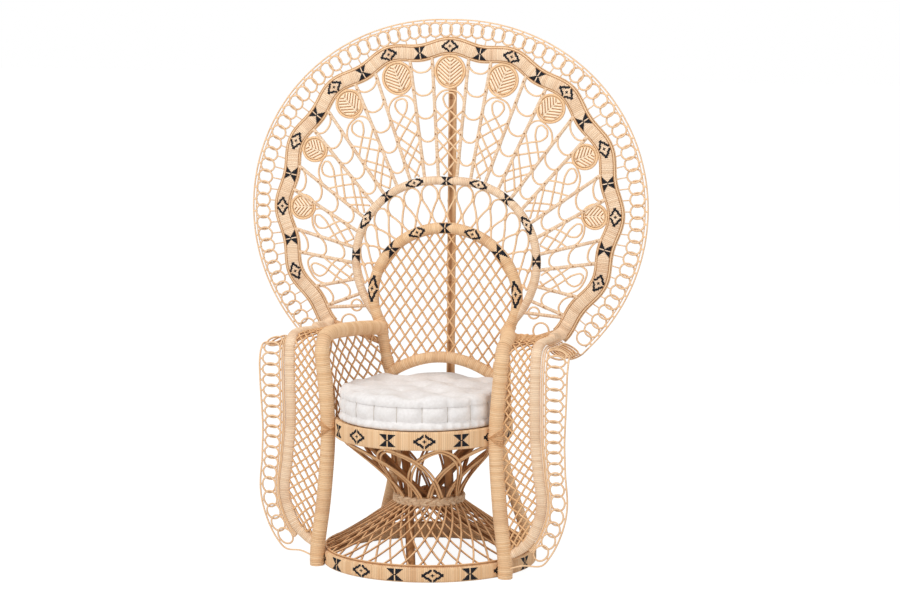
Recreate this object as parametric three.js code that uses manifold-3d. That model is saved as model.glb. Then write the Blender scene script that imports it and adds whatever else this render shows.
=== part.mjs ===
// Peacock chair: a woven rattan armchair with a fan back on an hourglass pedestal, and a loose cushion.
// Millimetres, +Z up. The chair faces -Y, and its origin is on the floor at the centre of the base ring.
import * as THREE from 'three';
import { mergeVertices } from 'three/addons/utils/BufferGeometryUtils.js';
import Module from 'manifold-3d';

const wasm = await Module();
wasm.setup();

// Clearances
const GAP = 0.3; // between pieces that are lashed together
const NET_GAP = 0.8; // between the rim of woven work and the cane that it is bound to

// Facets: sides of a section, segments of a turn and steps along a curve
const RING_SEGMENTS = 36;
const HOOP_SEGMENTS = 20;
const BRAID_SIDES = 6;
const POLE_SIDES = 8;
const STRUT_SIDES = 7;
const STRUT_STEPS = 8;
const INNER_STEPS = 42;
const SECOND_STEPS = 26;
const LOWER_STEPS = 8;
const POST_STEPS = 20;
const FRAME_STEPS = 22;
const BAND_STEPS = 72;

// Pedestal
const BASE_RADIUS = 300;
const BASE_HEIGHT = 42;
const BASE_WALL = 22;
const WAIST_HEIGHT = 180;
const BRAID_RADIUS = 92.5; // centre line of the braided rope round the waist
const BRAID_DIAMETER = 25;
const HOOP_WALL = 8.5;
const HOOP_HEIGHT = 24;
const CANE_DEPTH = 6; // thickness of woven work
const SKIRT_COLUMNS = 10;
const SKIRT_ROWS = 2;
const SKIRT_STRAND = 10;
const SKIRT_FLARE = 1.15; // above 1 the skirt is hollow like a trumpet
const THROAT_COLUMNS = 10;
const THROAT_ROWS = 1;
const THROAT_STRAND = 14;
const THROAT_FLARE = 1.5;
const STRUT_COUNT = 4;
const STRUT_DIAMETER = 25;
const STRUT_OFFSET = 57; // how far each strut passes from the pedestal's axis
const STRUT_TOP_REACH = 208; // from the axis crossing to the top end, seen from above
const STRUT_TURN = 20; // degrees round the axis to the first strut

// Seat
const SEAT_RADIUS = 247;
const SEAT_WALL = 12;
const SEAT_TOP = 413;
const SEAT_BAND = 51;
const SEAT_CENTRE_Y = -47;
const DECK_THICKNESS = 14;

// Cushion
const CUSHION_RADIUS = 238;
const CUSHION_HALF_WIDTH = 224; // where the two arms press its sides flat
const CUSHION_PRESS = 19; // width over which the pressed sides turn flat
const CUSHION_CENTRE_Y = -57;
const CUSHION_SIDE = 74; // height of the stitched side
const CUSHION_CROWN = 22; // rise of the middle above the side
const CUSHION_ROLL = 7; // radius of the sewn rolled edges
const CUSHION_WAIST = 6; // how far the side draws in between the rolls
const CUSHION_SECTORS = 28;
const CROWN_STEP = 0.125; // share of the radius between rings of the crown
const TUFT_DEPTH = 11;
const TUFT_SPREAD = 24;
const TUFT_RINGS = [[0, 1], [95, 6], [180, 12]]; // radius of each ring, and its number of tufts

// Back: a flat plane that leans back about a line on the floor
const RECLINE = 4.5; // degrees
const BACK_FOOT_Y = 85;

// Fan: each arch is a polar curve, mean + widening * cos(2 (angle - widest)), with angle 0 straight up
const BAND_CENTRE = 963;
const BAND_WIDENING = 14;
const BAND_WIDEST = 75;
const BAND_WIDTH = 44;
const BAND_EDGE = 8; // thickness at the edges
const BAND_CROWN = 16; // thickness in the middle
const SCALLOP_PITCH = 22.4; // degrees
const SCALLOP_DEPTH = 8;
const SCALLOP_COUNT = 6; // on each side of the middle
const LACE_RADIUS = 563.5; // the fan's outer edge
const LACE_WIDENING = 22;
const LACE_WIDEST = 80;
const LACE_WIDTH = 61.7; // mean reach past the lobes of the band
const LACE_LOOPS_PER_SCALLOP = 2;
const LACE_STRAND = 9;
const BAND_RADIUS = LACE_RADIUS - LACE_WIDTH - NET_GAP - BAND_WIDTH / 2 - SCALLOP_DEPTH;
const SECOND_CENTRE = 810;
const SECOND_RADIUS = 254;
const SECOND_WIDENING = 16;
const SECOND_WIDEST = 70;
const SECOND_END = 126;
const SECOND_DIAMETER = 24;
const INNER_CENTRE = 727;
const INNER_RADIUS = 203;
const INNER_WIDENING = 10;
const INNER_WIDEST = 92;
const INNER_END = 117;
const INNER_DIAMETER = 27;
const LEG_NARROW = 165; // half width of the inner arch just above the cushion
const LEG_NARROW_HEIGHT = 535;
const LEG_SEAT_ANGLE = 58; // degrees round the seat where the rear legs pass
const LEG_FOOT_ANGLE = 47; // degrees round the base ring
const LOWER_ARCH_TOP = 556;
const LOWER_ARCH_END = 500;
const LOWER_ARCH_DIAMETER = 27;
const POLE_DIAMETER = 25;
const POLE_TOP = 1440;

// Fan infill
const FLAT_DEPTH = 7; // thickness of spokes, rungs and sprays
const SPOKE_WIDTH = 9;
const SPOKE_PAIR = 4.2; // degrees from the middle of a ladder to its spokes, at the band
const SPOKE_PITCH = 9.3; // degrees between spokes round the second arch
const RUNG_WIDTH = 5.5;
const RUNG_COUNTS = [5, 5, 5, 4, 3, 2]; // from the middle outwards
const RUNG_SAG = 13;
const LEAF_DIAMETERS = [85, 85, 76, 66, 66]; // from the middle outwards
const LEAF_DEPTH = 9;
const LEAF_SIDES = 12;
const BARE_CROWN = 0.72; // share of a bay's length where the arch peaks without a leaf
const SPRAY_WIDTH = 6;
const SPRAY_BAYS = 5; // on each side of the middle
const LATTICE_PITCH_X = 80;
const LATTICE_PITCH_Z = 112;
const LATTICE_STRAND = 7;
const DROP_COUNT = 15; // loops between the two arches
const DROP_INNER_SPAN = 88; // degrees
const DROP_SECOND_SPAN = 101;
const DROP_STRAND = 8;

// Wings and arms
const POST_DIAMETER = 36;
const POST_FOOT_ANGLE = -31.3; // degrees round the base ring
const WING_Y = -155;
const WING_FRAME_WIDTH = 30;
const WING_FRAME_DEPTH = 20;
const ARM_HEIGHT = 641;
const ARM_BEND = 45;
const ARM_FRONT_X = 259;
const WING_TOP_X = 354;
const WING_WAIST_X = 353;
const WING_WAIST_HEIGHT = 395;
const WING_HIP_X = 371;
const WING_HIP_HEIGHT = 195;
const WING_TOE_X = 340;
const WING_TOE_HEIGHT = 110;
const WING_FOOT_HEIGHT = 62; // where the frame leaves the post
const WING_LACE_WIDTH = 76;
const WING_LACE_DROOP = 30; // degrees, over the arm
const WING_LACE_LOOPS = 10;
const WING_NET_COLUMNS = 2;
const WING_NET_ROWS = 6;
const WING_STRAND = 7;
const SIDE_NET_COLUMNS = 3;
const SIDE_NET_ROWS = 2;
const BACK_RAIL_DIAMETER = 18;
const BACK_RAIL_HEIGHT = 588;

const { degToRad, lerp, smoothstep } = THREE.MathUtils;
const vector = (x, y, z) => new THREE.Vector3(x, y, z);
const place = (across, up) => new THREE.Vector2(across, up);
const cosine = (degrees) => Math.cos(degToRad(degrees));
const sine = (degrees) => Math.sin(degToRad(degrees));

// Finishes
const CANE = { color: 0xdcb88c, roughness: 0.6, metalness: 0 };
const PALE_CANE = { color: 0xe6c9a0, roughness: 0.55, metalness: 0 };
const SHADED_CANE = { color: 0xa9784c, roughness: 0.65, metalness: 0 };
const ROPE = { color: 0xb9987a, roughness: 0.85, metalness: 0 };
const COTTON = { color: 0xe9e3dd, roughness: 0.9, metalness: 0 };

// The back group's own axes: X across, Y up the leaning plane from the floor line, Z towards the front
const chair = new THREE.Group();
const back = new THREE.Group();
back.position.set(0, BACK_FOOT_Y, 0);
back.rotation.x = Math.PI / 2 - degToRad(RECLINE);
chair.add(back);
chair.updateMatrixWorld(true);

function add(parent, name, geometry, finish) {
  const mesh = new THREE.Mesh(geometry, new THREE.MeshStandardMaterial(finish));
  mesh.name = name;
  parent.add(mesh);
}

const inChair = (geometry) => geometry.clone().applyMatrix4(back.matrixWorld);
const pointInChair = (flatPlace) => back.localToWorld(vector(flatPlace.x, flatPlace.y, 0));

// Solids: closed meshes with shared vertices, so that they can be joined and cut

function bareMesh(geometry) {
  const bare = new THREE.BufferGeometry();
  bare.setAttribute('position', geometry.getAttribute('position'));
  bare.setIndex(geometry.getIndex());
  const merged = mergeVertices(bare, 1e-3);
  const vertices = Float32Array.from(merged.getAttribute('position').array);
  const corners = Array.from(merged.getIndex().array);
  const corner = (index) => vector().fromArray(vertices, 3 * index);
  const triangles = [];
  let volume = 0;
  for (let i = 0; i < corners.length; i += 3) {
    const [a, b, c] = corners.slice(i, i + 3);
    if (a !== b && b !== c && c !== a) {
      triangles.push([a, b, c]);
      volume += corner(a).dot(corner(b).cross(corner(c)));
    }
  }
  if (volume < 0) {
    triangles.forEach((triangle) => triangle.reverse());
  }
  return { vertices, triangles: Uint32Array.from(triangles.flat()) };
}

function closed(geometry) {
  const { vertices, triangles } = bareMesh(geometry);
  const result = new THREE.BufferGeometry();
  result.setAttribute('position', new THREE.BufferAttribute(vertices, 3));
  result.setIndex(new THREE.BufferAttribute(triangles, 1));
  return result;
}

function solid(geometry) {
  const { vertices, triangles } = bareMesh(geometry);
  return new wasm.Manifold(new wasm.Mesh({ numProp: 3, vertProperties: vertices, triVerts: triangles }));
}

function geometryOf(body) {
  const mesh = body.getMesh();
  const result = new THREE.BufferGeometry();
  result.setAttribute('position', new THREE.BufferAttribute(Float32Array.from(mesh.vertProperties), 3));
  result.setIndex(new THREE.BufferAttribute(Uint32Array.from(mesh.triVerts), 1));
  return closed(result);
}

const join = (bodies) => bodies.reduce((whole, body) => whole.add(body));
const cut = (body, cutters) => cutters.reduce((rest, cutter) => rest.subtract(cutter), body);
const mirrored = (geometry) => closed(geometry.clone().scale(-1, 1, 1));

// Tubes: a section carried along a curve

class FormulaCurve extends THREE.Curve {
  constructor(pointAt) {
    super();
    this.pointAt = pointAt;
  }

  getPoint(t) {
    return this.pointAt(t);
  }
}

function ovalSection(depth, width, sides) {
  const points = [];
  for (let i = 0; i < sides; i += 1) {
    const angle = (2 * Math.PI * (i + 0.5)) / sides;
    points.push(place(0.5 * depth * Math.cos(angle), 0.5 * width * Math.sin(angle)));
  }
  return new THREE.Shape(points);
}

function sweep(curve, section, steps) {
  return new THREE.ExtrudeGeometry(section, { steps, bevelEnabled: false, extrudePath: curve });
}

function tube(curve, diameter, sides, steps) {
  return sweep(curve, ovalSection(diameter, diameter, sides), steps);
}

const rod = (start, end, diameter, sides) => tube(new THREE.LineCurve3(start, end), diameter, sides, 1);
const through = (points) => new THREE.CatmullRomCurve3(points);

// Turned pieces: a profile of radius and height round an upright axis

function turned(profile, centreY, segments) {
  const points = profile.map(([radius, height]) => place(radius, height));
  return new THREE.LatheGeometry(points, segments).rotateX(Math.PI / 2).translate(0, centreY, 0);
}

function ring(inner, outer, bottom, top, centreY, segments = RING_SEGMENTS) {
  const profile = [[inner, bottom], [outer, bottom], [outer, top], [inner, top], [inner, bottom]];
  return turned(profile, centreY, segments);
}

function disc(radius, bottom, top, centreY) {
  return turned([[0, bottom], [radius, bottom], [radius, top], [0, top]], centreY, RING_SEGMENTS);
}

function roundPoint(centreY, radius, angle, height) {
  return vector(radius * cosine(angle), centreY + radius * sine(angle), height);
}

// Flat work in the back plane: outlines given an even depth, half of it to each side of the plane

function flat(outline, depth) {
  const body = new THREE.ExtrudeGeometry(new THREE.Shape(outline), { depth, bevelEnabled: false });
  return solid(body.translate(0, 0, -depth / 2));
}

function ribbon(places, width) {
  const last = places.length - 1;
  const edge = (side) => places.map((middle, i) => {
    const along = places[Math.min(i + 1, last)].clone().sub(places[Math.max(i - 1, 0)]).normalize();
    return middle.clone().add(place(-along.y, along.x).multiplyScalar((side * width) / 2));
  });
  return flat([...edge(-1), ...edge(1).reverse()], FLAT_DEPTH);
}

// Nets: cells that share their corners, each with a hole, on a surface that u and v run over

class Net {
  constructor(pointAt, thickness) {
    this.pointAt = pointAt;
    this.half = thickness / 2;
    this.positions = [];
    this.indices = [];
    this.corners = new Map();
  }

  vertexPair(u, v) {
    const step = 1e-3;
    const point = this.pointAt(u, v);
    const alongU = this.pointAt(u + step, v).sub(this.pointAt(u - step, v));
    const alongV = this.pointAt(u, v + step).sub(this.pointAt(u, v - step));
    const offset = alongU.cross(alongV).normalize().multiplyScalar(this.half);
    const first = this.positions.length / 3;
    this.positions.push(...point.clone().add(offset).toArray(), ...point.sub(offset).toArray());
    return [first, first + 1];
  }

  corner(key, u, v) {
    if (!this.corners.has(key)) {
      this.corners.set(key, this.vertexPair(u, v));
    }
    return this.corners.get(key);
  }

  quad(a, b, c, d) {
    this.indices.push(a, b, c, a, c, d);
  }

  // outer and hole are lists of [front, back] vertices in the same order, and rim says which edges are free
  cell(outer, hole, rim) {
    outer.forEach(([fromFront, fromBack], k) => {
      const next = (k + 1) % outer.length;
      const [toFront, toBack] = outer[next];
      const [holeFront, holeBack] = hole[k];
      const [nextFront, nextBack] = hole[next];
      this.quad(fromFront, toFront, nextFront, holeFront);
      this.quad(toBack, fromBack, holeBack, nextBack);
      this.quad(holeFront, nextFront, nextBack, holeBack);
      if (rim[k]) {
        this.quad(toFront, fromFront, fromBack, toBack);
      }
    });
  }

  geometry() {
    const result = new THREE.BufferGeometry();
    result.setAttribute('position', new THREE.Float32BufferAttribute(this.positions, 3));
    result.setIndex(this.indices);
    return closed(result);
  }
}

// The middle of a cell and how far its hole is drawn in from its corners, for an even strand width
function cellInset(points, strand) {
  const count = points.length;
  const lengths = points.map((point, k) => point.distanceTo(points[(k + 1) % count]));
  const perimeter = lengths.reduce((sum, length) => sum + length);
  const weights = lengths.map((_, k) => (count === 3 ? lengths[(k + 1) % 3] / perimeter : 1 / count));
  const middle = points.reduce((sum, point, k) => sum.addScaledVector(point, weights[k]), vector(0, 0, 0));
  const area = points.reduce((sum, point, k) => {
    const edge = points[(k + 1) % count].clone().sub(point);
    return sum + edge.cross(middle.clone().sub(point)).length() / 2;
  }, 0);
  return { weights, inset: Math.min(0.75, (strand * perimeter) / (4 * area)) };
}

// A net of diamonds, columns across u and rows along v. Cells at a rim are half diamonds.
function diamondNet(columns, rows, wraps, strand, pointAt) {
  const net = new Net(pointAt, CANE_DEPTH);
  const lastI = 2 * columns;
  const lastJ = 2 * rows;
  const inside = ([i, j]) => j >= 0 && j <= lastJ && (wraps || (i >= 0 && i <= lastI));
  const onRim = (a, b, last) => a === b && (a === 0 || a === last);
  for (let j = 0; j <= lastJ; j += 1) {
    for (let i = (j + 1) % 2; i < lastI + (wraps ? 0 : 1); i += 2) {
      const around = [[i - 1, j], [i, j - 1], [i + 1, j], [i, j + 1]].filter(inside);
      const { weights, inset } = cellInset(around.map(([a, b]) => pointAt(a / lastI, b / lastJ)), strand);
      const middle = [0, 1].map((axis) => around.reduce((sum, at, k) => sum + weights[k] * at[axis], 0));
      const outer = around.map(([a, b]) => {
        const column = wraps ? (a + lastI) % lastI : a;
        return net.corner(`${column} ${b}`, a / lastI, b / lastJ);
      });
      const hole = around.map(([a, b]) => {
        const u = lerp(a, middle[0], inset) / lastI;
        return net.vertexPair(u, lerp(b, middle[1], inset) / lastJ);
      });
      const rim = around.map(([a, b], k) => {
        const [c, d] = around[(k + 1) % around.length];
        return onRim(b, d, lastJ) || (!wraps && onRim(a, c, lastI));
      });
      net.cell(outer, hole, rim);
    }
  }
  return net.geometry();
}

// A strip of loops side by side along u, from its edge at v = 0 to its edge at v = 1
function loopStrip(count, strandShare, rimShare, pointAt) {
  const net = new Net(pointAt, CANE_DEPTH);
  const shoulder = 0.28;
  const side = strandShare / 2;
  const corners = [[0, 0], [0.5, 0], [1, 0], [1, 1], [0.5, 1], [0, 1]];
  const holes = [
    [side, shoulder],
    [0.5, rimShare],
    [1 - side, shoulder],
    [1 - side, 1 - shoulder],
    [0.5, 1 - rimShare],
    [side, 1 - shoulder],
  ];
  for (let i = 0; i < count; i += 1) {
    const outer = corners.map(([a, b]) => net.corner(`${i + a} ${b}`, (i + a) / count, b));
    const hole = holes.map(([a, b]) => net.vertexPair((i + a) / count, b));
    net.cell(outer, hole, [true, true, i === count - 1, true, true, i === 0]);
  }
  return net.geometry();
}

// Base ring, waist and seat ring
const BASE_INNER = BASE_RADIUS - BASE_WALL;
add(chair, 'base_ring', closed(ring(BASE_INNER, BASE_RADIUS, 0, BASE_HEIGHT, 0)), PALE_CANE);

const HOOP_OUTER = BRAID_RADIUS - BRAID_DIAMETER / 2 - GAP;
const HOOP_INNER = HOOP_OUTER - HOOP_WALL;
const HOOP_BOTTOM = WAIST_HEIGHT - HOOP_HEIGHT / 2;
const HOOP_TOP = HOOP_BOTTOM + HOOP_HEIGHT;
const hoop = ring(HOOP_INNER, HOOP_OUTER, HOOP_BOTTOM, HOOP_TOP, 0, HOOP_SEGMENTS);
add(chair, 'waist_hoop', closed(hoop), SHADED_CANE);

const braid = new THREE.TorusGeometry(BRAID_RADIUS, BRAID_DIAMETER / 2, BRAID_SIDES, HOOP_SEGMENTS);
add(chair, 'waist_braid', closed(braid.translate(0, 0, WAIST_HEIGHT)), ROPE);

const SEAT_BOTTOM = SEAT_TOP - SEAT_BAND;
const SEAT_INNER = SEAT_RADIUS - SEAT_WALL;
const seatRing = ring(SEAT_INNER, SEAT_RADIUS, SEAT_BOTTOM, SEAT_TOP, SEAT_CENTRE_Y);
add(chair, 'seat_ring', closed(seatRing), PALE_CANE);

const DECK_BOTTOM = SEAT_TOP - DECK_THICKNESS;
const DECK_RADIUS = SEAT_INNER - GAP;
add(chair, 'seat_deck', closed(disc(DECK_RADIUS, DECK_BOTTOM, SEAT_TOP, SEAT_CENTRE_Y)), CANE);

// Skirt and throat: nets that flare from the waist to the two rings
const RIM_LIFT = CANE_DEPTH / 2 + GAP;
const SKIRT_TOP = WAIST_HEIGHT - BRAID_DIAMETER / 2 - RIM_LIFT;
const SKIRT_BOTTOM = BASE_HEIGHT + RIM_LIFT;
const SKIRT_OUTER = BASE_RADIUS - BASE_WALL / 2;

function skirtPoint(u, v) {
  const radius = lerp(SKIRT_OUTER, BRAID_RADIUS, v);
  const height = lerp(SKIRT_BOTTOM, SKIRT_TOP, Math.pow(Math.max(v, 0), SKIRT_FLARE));
  return roundPoint(0, radius, 360 * u, height);
}

const skirt = diamondNet(SKIRT_COLUMNS, SKIRT_ROWS, true, SKIRT_STRAND, skirtPoint);
add(chair, 'skirt_lattice', skirt, CANE);

const THROAT_BOTTOM = WAIST_HEIGHT + BRAID_DIAMETER / 2 + RIM_LIFT;
const THROAT_TOP = SEAT_BOTTOM - RIM_LIFT;
const THROAT_OUTER = SEAT_RADIUS - SEAT_WALL / 2;

function throatPoint(u, v) {
  const radius = lerp(BRAID_RADIUS, THROAT_OUTER, Math.pow(Math.max(v, 0), THROAT_FLARE));
  return roundPoint(SEAT_CENTRE_Y * v, radius, 360 * u, lerp(THROAT_BOTTOM, THROAT_TOP, v));
}

const throat = diamondNet(THROAT_COLUMNS, THROAT_ROWS, true, THROAT_STRAND, throatPoint);
add(chair, 'throat_arches', throat, CANE);

// Struts: poles that cross inside the waist hoop, from under the seat deck to the inside of the base ring
function strutCurve(turn) {
  const outward = vector(cosine(turn), sine(turn), 0);
  const along = vector(-sine(turn), cosine(turn), 0);
  const footReach = Math.sqrt((BASE_RADIUS - BASE_WALL / 2) ** 2 - STRUT_OFFSET ** 2);
  const footHeight = BASE_HEIGHT / 2;
  const places = [
    [-STRUT_TOP_REACH, SEAT_TOP],
    [-STRUT_TOP_REACH / 2, lerp(WAIST_HEIGHT, SEAT_TOP, 0.47)],
    [0, WAIST_HEIGHT],
    [footReach / 2, lerp(footHeight, WAIST_HEIGHT, 0.46)],
    [footReach, footHeight],
  ];
  return through(places.map(([reach, height]) => {
    const towardsSeat = Math.max(0, (height - WAIST_HEIGHT) / (SEAT_TOP - WAIST_HEIGHT));
    const point = outward.clone().multiplyScalar(STRUT_OFFSET).addScaledVector(along, reach);
    return point.add(vector(0, SEAT_CENTRE_Y * towardsSeat, height));
  }));
}

const STRUT_TRIM = 2 * STRUT_DIAMETER; // how far the trimming shapes reach past the deck and the base ring
const overDeck = solid(disc(SEAT_RADIUS, DECK_BOTTOM - GAP, SEAT_TOP + STRUT_TRIM, SEAT_CENTRE_Y));
const pastBase = solid(ring(BASE_INNER - GAP, BASE_RADIUS + STRUT_TRIM, -GAP, BASE_HEIGHT + GAP, 0));
const inHoop = solid(ring(HOOP_INNER - GAP, HOOP_OUTER, HOOP_BOTTOM - GAP, HOOP_TOP + GAP, 0, HOOP_SEGMENTS));
for (let i = 0; i < STRUT_COUNT; i += 1) {
  const curve = strutCurve(STRUT_TURN + (360 * i) / STRUT_COUNT);
  const strut = solid(tube(curve, STRUT_DIAMETER, STRUT_SIDES, STRUT_STEPS));
  add(chair, `pedestal_strut_${i + 1}`, geometryOf(cut(strut, [overDeck, pastBase, inHoop])), SHADED_CANE);
}

// Cushion: rolled edges, a drawn-in side, a crown with sewn tufts, and sides pressed flat by the arms
const CUSHION_BOTTOM = SEAT_TOP + GAP;
const CUSHION_EDGE_TOP = CUSHION_BOTTOM + CUSHION_SIDE;

function rolledEdge(middleHeight) {
  return [-50, 0, 50].map((turn) => {
    const radius = CUSHION_RADIUS - CUSHION_ROLL + CUSHION_ROLL * cosine(turn);
    return [radius, middleHeight + CUSHION_ROLL * sine(turn)];
  });
}

function cushionProfile() {
  const edge = CUSHION_RADIUS - CUSHION_ROLL;
  const crownStart = edge - CUSHION_ROLL;
  const crown = [];
  for (let share = 1; share > -0.01; share -= CROWN_STEP) {
    const rise = Math.sin((Math.PI / 2) * Math.min(1, 1.7 * (1 - share)));
    crown.push([crownStart * share, CUSHION_EDGE_TOP - CUSHION_ROLL + (CUSHION_CROWN + CUSHION_ROLL) * rise]);
  }
  crown[crown.length - 1][0] = 0;
  return [
    [0, CUSHION_BOTTOM],
    [edge / 2, CUSHION_BOTTOM],
    [edge, CUSHION_BOTTOM],
    ...rolledEdge(CUSHION_BOTTOM + CUSHION_ROLL),
    [CUSHION_RADIUS - CUSHION_WAIST, CUSHION_BOTTOM + CUSHION_SIDE / 2],
    ...rolledEdge(CUSHION_EDGE_TOP - CUSHION_ROLL),
    ...crown,
  ];
}

function tuftDip(x, y) {
  let dip = 0;
  TUFT_RINGS.forEach(([radius, count]) => {
    for (let i = 0; i < count; i += 1) {
      const tuft = roundPoint(0, radius, (360 * i) / count, 0);
      dip += TUFT_DEPTH * Math.exp(-((Math.hypot(x - tuft.x, y - tuft.y) / TUFT_SPREAD) ** 2));
    }
  });
  return dip;
}

function pressed(x) {
  const flatFrom = CUSHION_HALF_WIDTH - CUSHION_PRESS;
  const beyond = Math.max(0, Math.abs(x) - flatFrom);
  return Math.sign(x) * (Math.min(Math.abs(x), flatFrom) + CUSHION_PRESS * Math.tanh(beyond / CUSHION_PRESS));
}

const cushion = turned(cushionProfile(), 0, CUSHION_SECTORS);
const cushionPlaces = cushion.getAttribute('position');
for (let i = 0; i < cushionPlaces.count; i += 1) {
  const [x, y, z] = [cushionPlaces.getX(i), cushionPlaces.getY(i), cushionPlaces.getZ(i)];
  const onCrown = z > CUSHION_EDGE_TOP - CUSHION_ROLL && Math.hypot(x, y) < CUSHION_RADIUS - 3 * CUSHION_ROLL;
  cushionPlaces.setXYZ(i, pressed(x), y + CUSHION_CENTRE_Y, z - (onCrown ? tuftDip(x, y) : 0));
}
add(chair, 'seat_cushion', closed(cushion), COTTON);

// Curves of the fan, as places in the back plane
function polarRadius(mean, widening, widest, angle) {
  return mean + widening * cosine(2 * (Math.abs(angle) - widest));
}

const polarPlace = (centre, radius, angle) => place(radius * sine(angle), centre + radius * cosine(angle));
const SCALLOP_END = SCALLOP_PITCH * SCALLOP_COUNT;

function bandPlace(angle, offset = 0) {
  const scallop = SCALLOP_DEPTH * cosine((360 * angle) / SCALLOP_PITCH);
  const radius = polarRadius(BAND_RADIUS, BAND_WIDENING, BAND_WIDEST, angle) + scallop;
  return polarPlace(BAND_CENTRE, radius + offset, angle);
}

function secondPlace(angle, offset = 0) {
  const radius = polarRadius(SECOND_RADIUS, SECOND_WIDENING, SECOND_WIDEST, angle);
  return polarPlace(SECOND_CENTRE, radius + offset, angle);
}

function innerPlace(angle, offset = 0) {
  const radius = polarRadius(INNER_RADIUS, INNER_WIDENING, INNER_WIDEST, angle);
  return polarPlace(INNER_CENTRE, radius + offset, angle);
}

const lowerArchUp = (across) => lerp(LOWER_ARCH_TOP, LOWER_ARCH_END, (across / LEG_NARROW) ** 2);
const inPlane = (flatPlace) => vector(flatPlace.x, flatPlace.y, 0);
const overAngles = (end, placeAt) => new FormulaCurve((t) => inPlane(placeAt(lerp(-end, end, t))));

// Inner arch: one pole from a rear foot, past the seat ring, round the back panel and down again
const FLOOR_DEPTH = 100;
const floorSlab = new THREE.BoxGeometry(4 * BASE_RADIUS, 4 * BASE_RADIUS, FLOOR_DEPTH);
const floor = solid(floorSlab.translate(0, 0, -FLOOR_DEPTH / 2));
const FOOT_TRIM = 15; // how far legs and posts run below the floor before they are cut level
const baseSpace = ring(BASE_INNER, BASE_RADIUS + GAP, -GAP, BASE_HEIGHT + GAP, 0);
const seatSpace = ring(SEAT_INNER, SEAT_RADIUS + GAP, SEAT_BOTTOM - GAP, SEAT_TOP + GAP, SEAT_CENTRE_Y);
const legCutters = [floor, solid(baseSpace), solid(seatSpace)];
const LEG_RADIUS = INNER_DIAMETER / 2;
const ARCH_POINTS = 6; // from the leg to the top of the arch

const NARROW_INDEX = 5; // which of the curve's points is the narrow place above the cushion

function innerArchCurve() {
  const foot = roundPoint(0, BASE_RADIUS + LEG_RADIUS + GAP, LEG_FOOT_ANGLE, 0);
  const seatPass = SEAT_RADIUS + LEG_RADIUS + GAP;
  const belowSeat = roundPoint(SEAT_CENTRE_Y, seatPass + 2, LEG_SEAT_ANGLE, SEAT_BOTTOM);
  const besideSeat = roundPoint(SEAT_CENTRE_Y, seatPass, LEG_SEAT_ANGLE, SEAT_TOP);
  const half = [
    foot.clone().setZ(-FOOT_TRIM),
    foot.clone().setZ(BASE_HEIGHT),
    foot.clone().lerp(belowSeat, 0.5),
    belowSeat,
    besideSeat,
    pointInChair(place(LEG_NARROW, LEG_NARROW_HEIGHT)),
  ];
  for (let k = 0; k < ARCH_POINTS; k += 1) {
    half.push(pointInChair(innerPlace(INNER_END * (1 - k / ARCH_POINTS))));
  }
  const otherHalf = half.map((point) => vector(-point.x, point.y, point.z)).reverse();
  return through([...half, pointInChair(innerPlace(0)), ...otherHalf]);
}

const innerCurve = innerArchCurve();
const innerTube = (grow) => tube(innerCurve, INNER_DIAMETER + 2 * grow, POLE_SIDES, INNER_STEPS);
add(chair, 'inner_arch', geometryOf(cut(solid(innerTube(0)), legCutters)), CANE);
const innerSpaceInChair = solid(innerTube(GAP));
const innerSpace = solid(innerTube(GAP).applyMatrix4(back.matrixWorld.clone().invert()));

// Second arch, lower arch and rear pole
const secondCurve = overAngles(SECOND_END, secondPlace);
const secondTube = (grow) => tube(secondCurve, SECOND_DIAMETER + 2 * grow, POLE_SIDES, SECOND_STEPS);
add(back, 'second_arch', geometryOf(cut(solid(secondTube(0)), [innerSpace])), PALE_CANE);
const secondSpace = solid(secondTube(GAP));

const lowerCurve = new FormulaCurve((t) => {
  const across = lerp(-LEG_NARROW, LEG_NARROW, t);
  return vector(across, lowerArchUp(across), 0);
});
const lowerTube = tube(lowerCurve, LOWER_ARCH_DIAMETER, POLE_SIDES, LOWER_STEPS);
add(back, 'lower_arch', geometryOf(cut(solid(lowerTube), [innerSpace])), CANE);

const poleFoot = vector(0, SEAT_CENTRE_Y + SEAT_RADIUS - SEAT_WALL / 2, SEAT_TOP - FOOT_TRIM);
const poleBehind = BAND_CROWN / 2 + POLE_DIAMETER / 2 + GAP;
const poleTop = back.localToWorld(vector(0, POLE_TOP, -poleBehind));
const pole = solid(rod(poleFoot, poleTop, POLE_DIAMETER, POLE_SIDES));
const underPole = disc(2 * SEAT_RADIUS, SEAT_BOTTOM, SEAT_TOP + GAP, SEAT_CENTRE_Y);
add(chair, 'rear_pole', geometryOf(cut(pole, [solid(underPole)])), SHADED_CANE);

// Scalloped band, and the lace round it
function bandSweep(grow) {
  const half = BAND_WIDTH / 2 + grow;
  const edge = BAND_EDGE / 2 + grow;
  const crown = BAND_CROWN / 2 + grow;
  const outline = [[edge, half], [-edge, half], [-crown, 0], [-edge, -half], [edge, -half], [crown, 0]];
  const section = new THREE.Shape(outline.map(([depth, across]) => place(depth, across)));
  return sweep(overAngles(SCALLOP_END, bandPlace), section, BAND_STEPS);
}

add(back, 'scallop_band', closed(bandSweep(0)), PALE_CANE);
const bandSpace = solid(bandSweep(GAP));
const bandSpaceInChair = solid(inChair(bandSweep(GAP)));

const LACE_LOOPS = 2 * LACE_LOOPS_PER_SCALLOP * SCALLOP_COUNT - 1;
const LACE_END = (SCALLOP_PITCH * LACE_LOOPS) / (2 * LACE_LOOPS_PER_SCALLOP); // degrees

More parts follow.
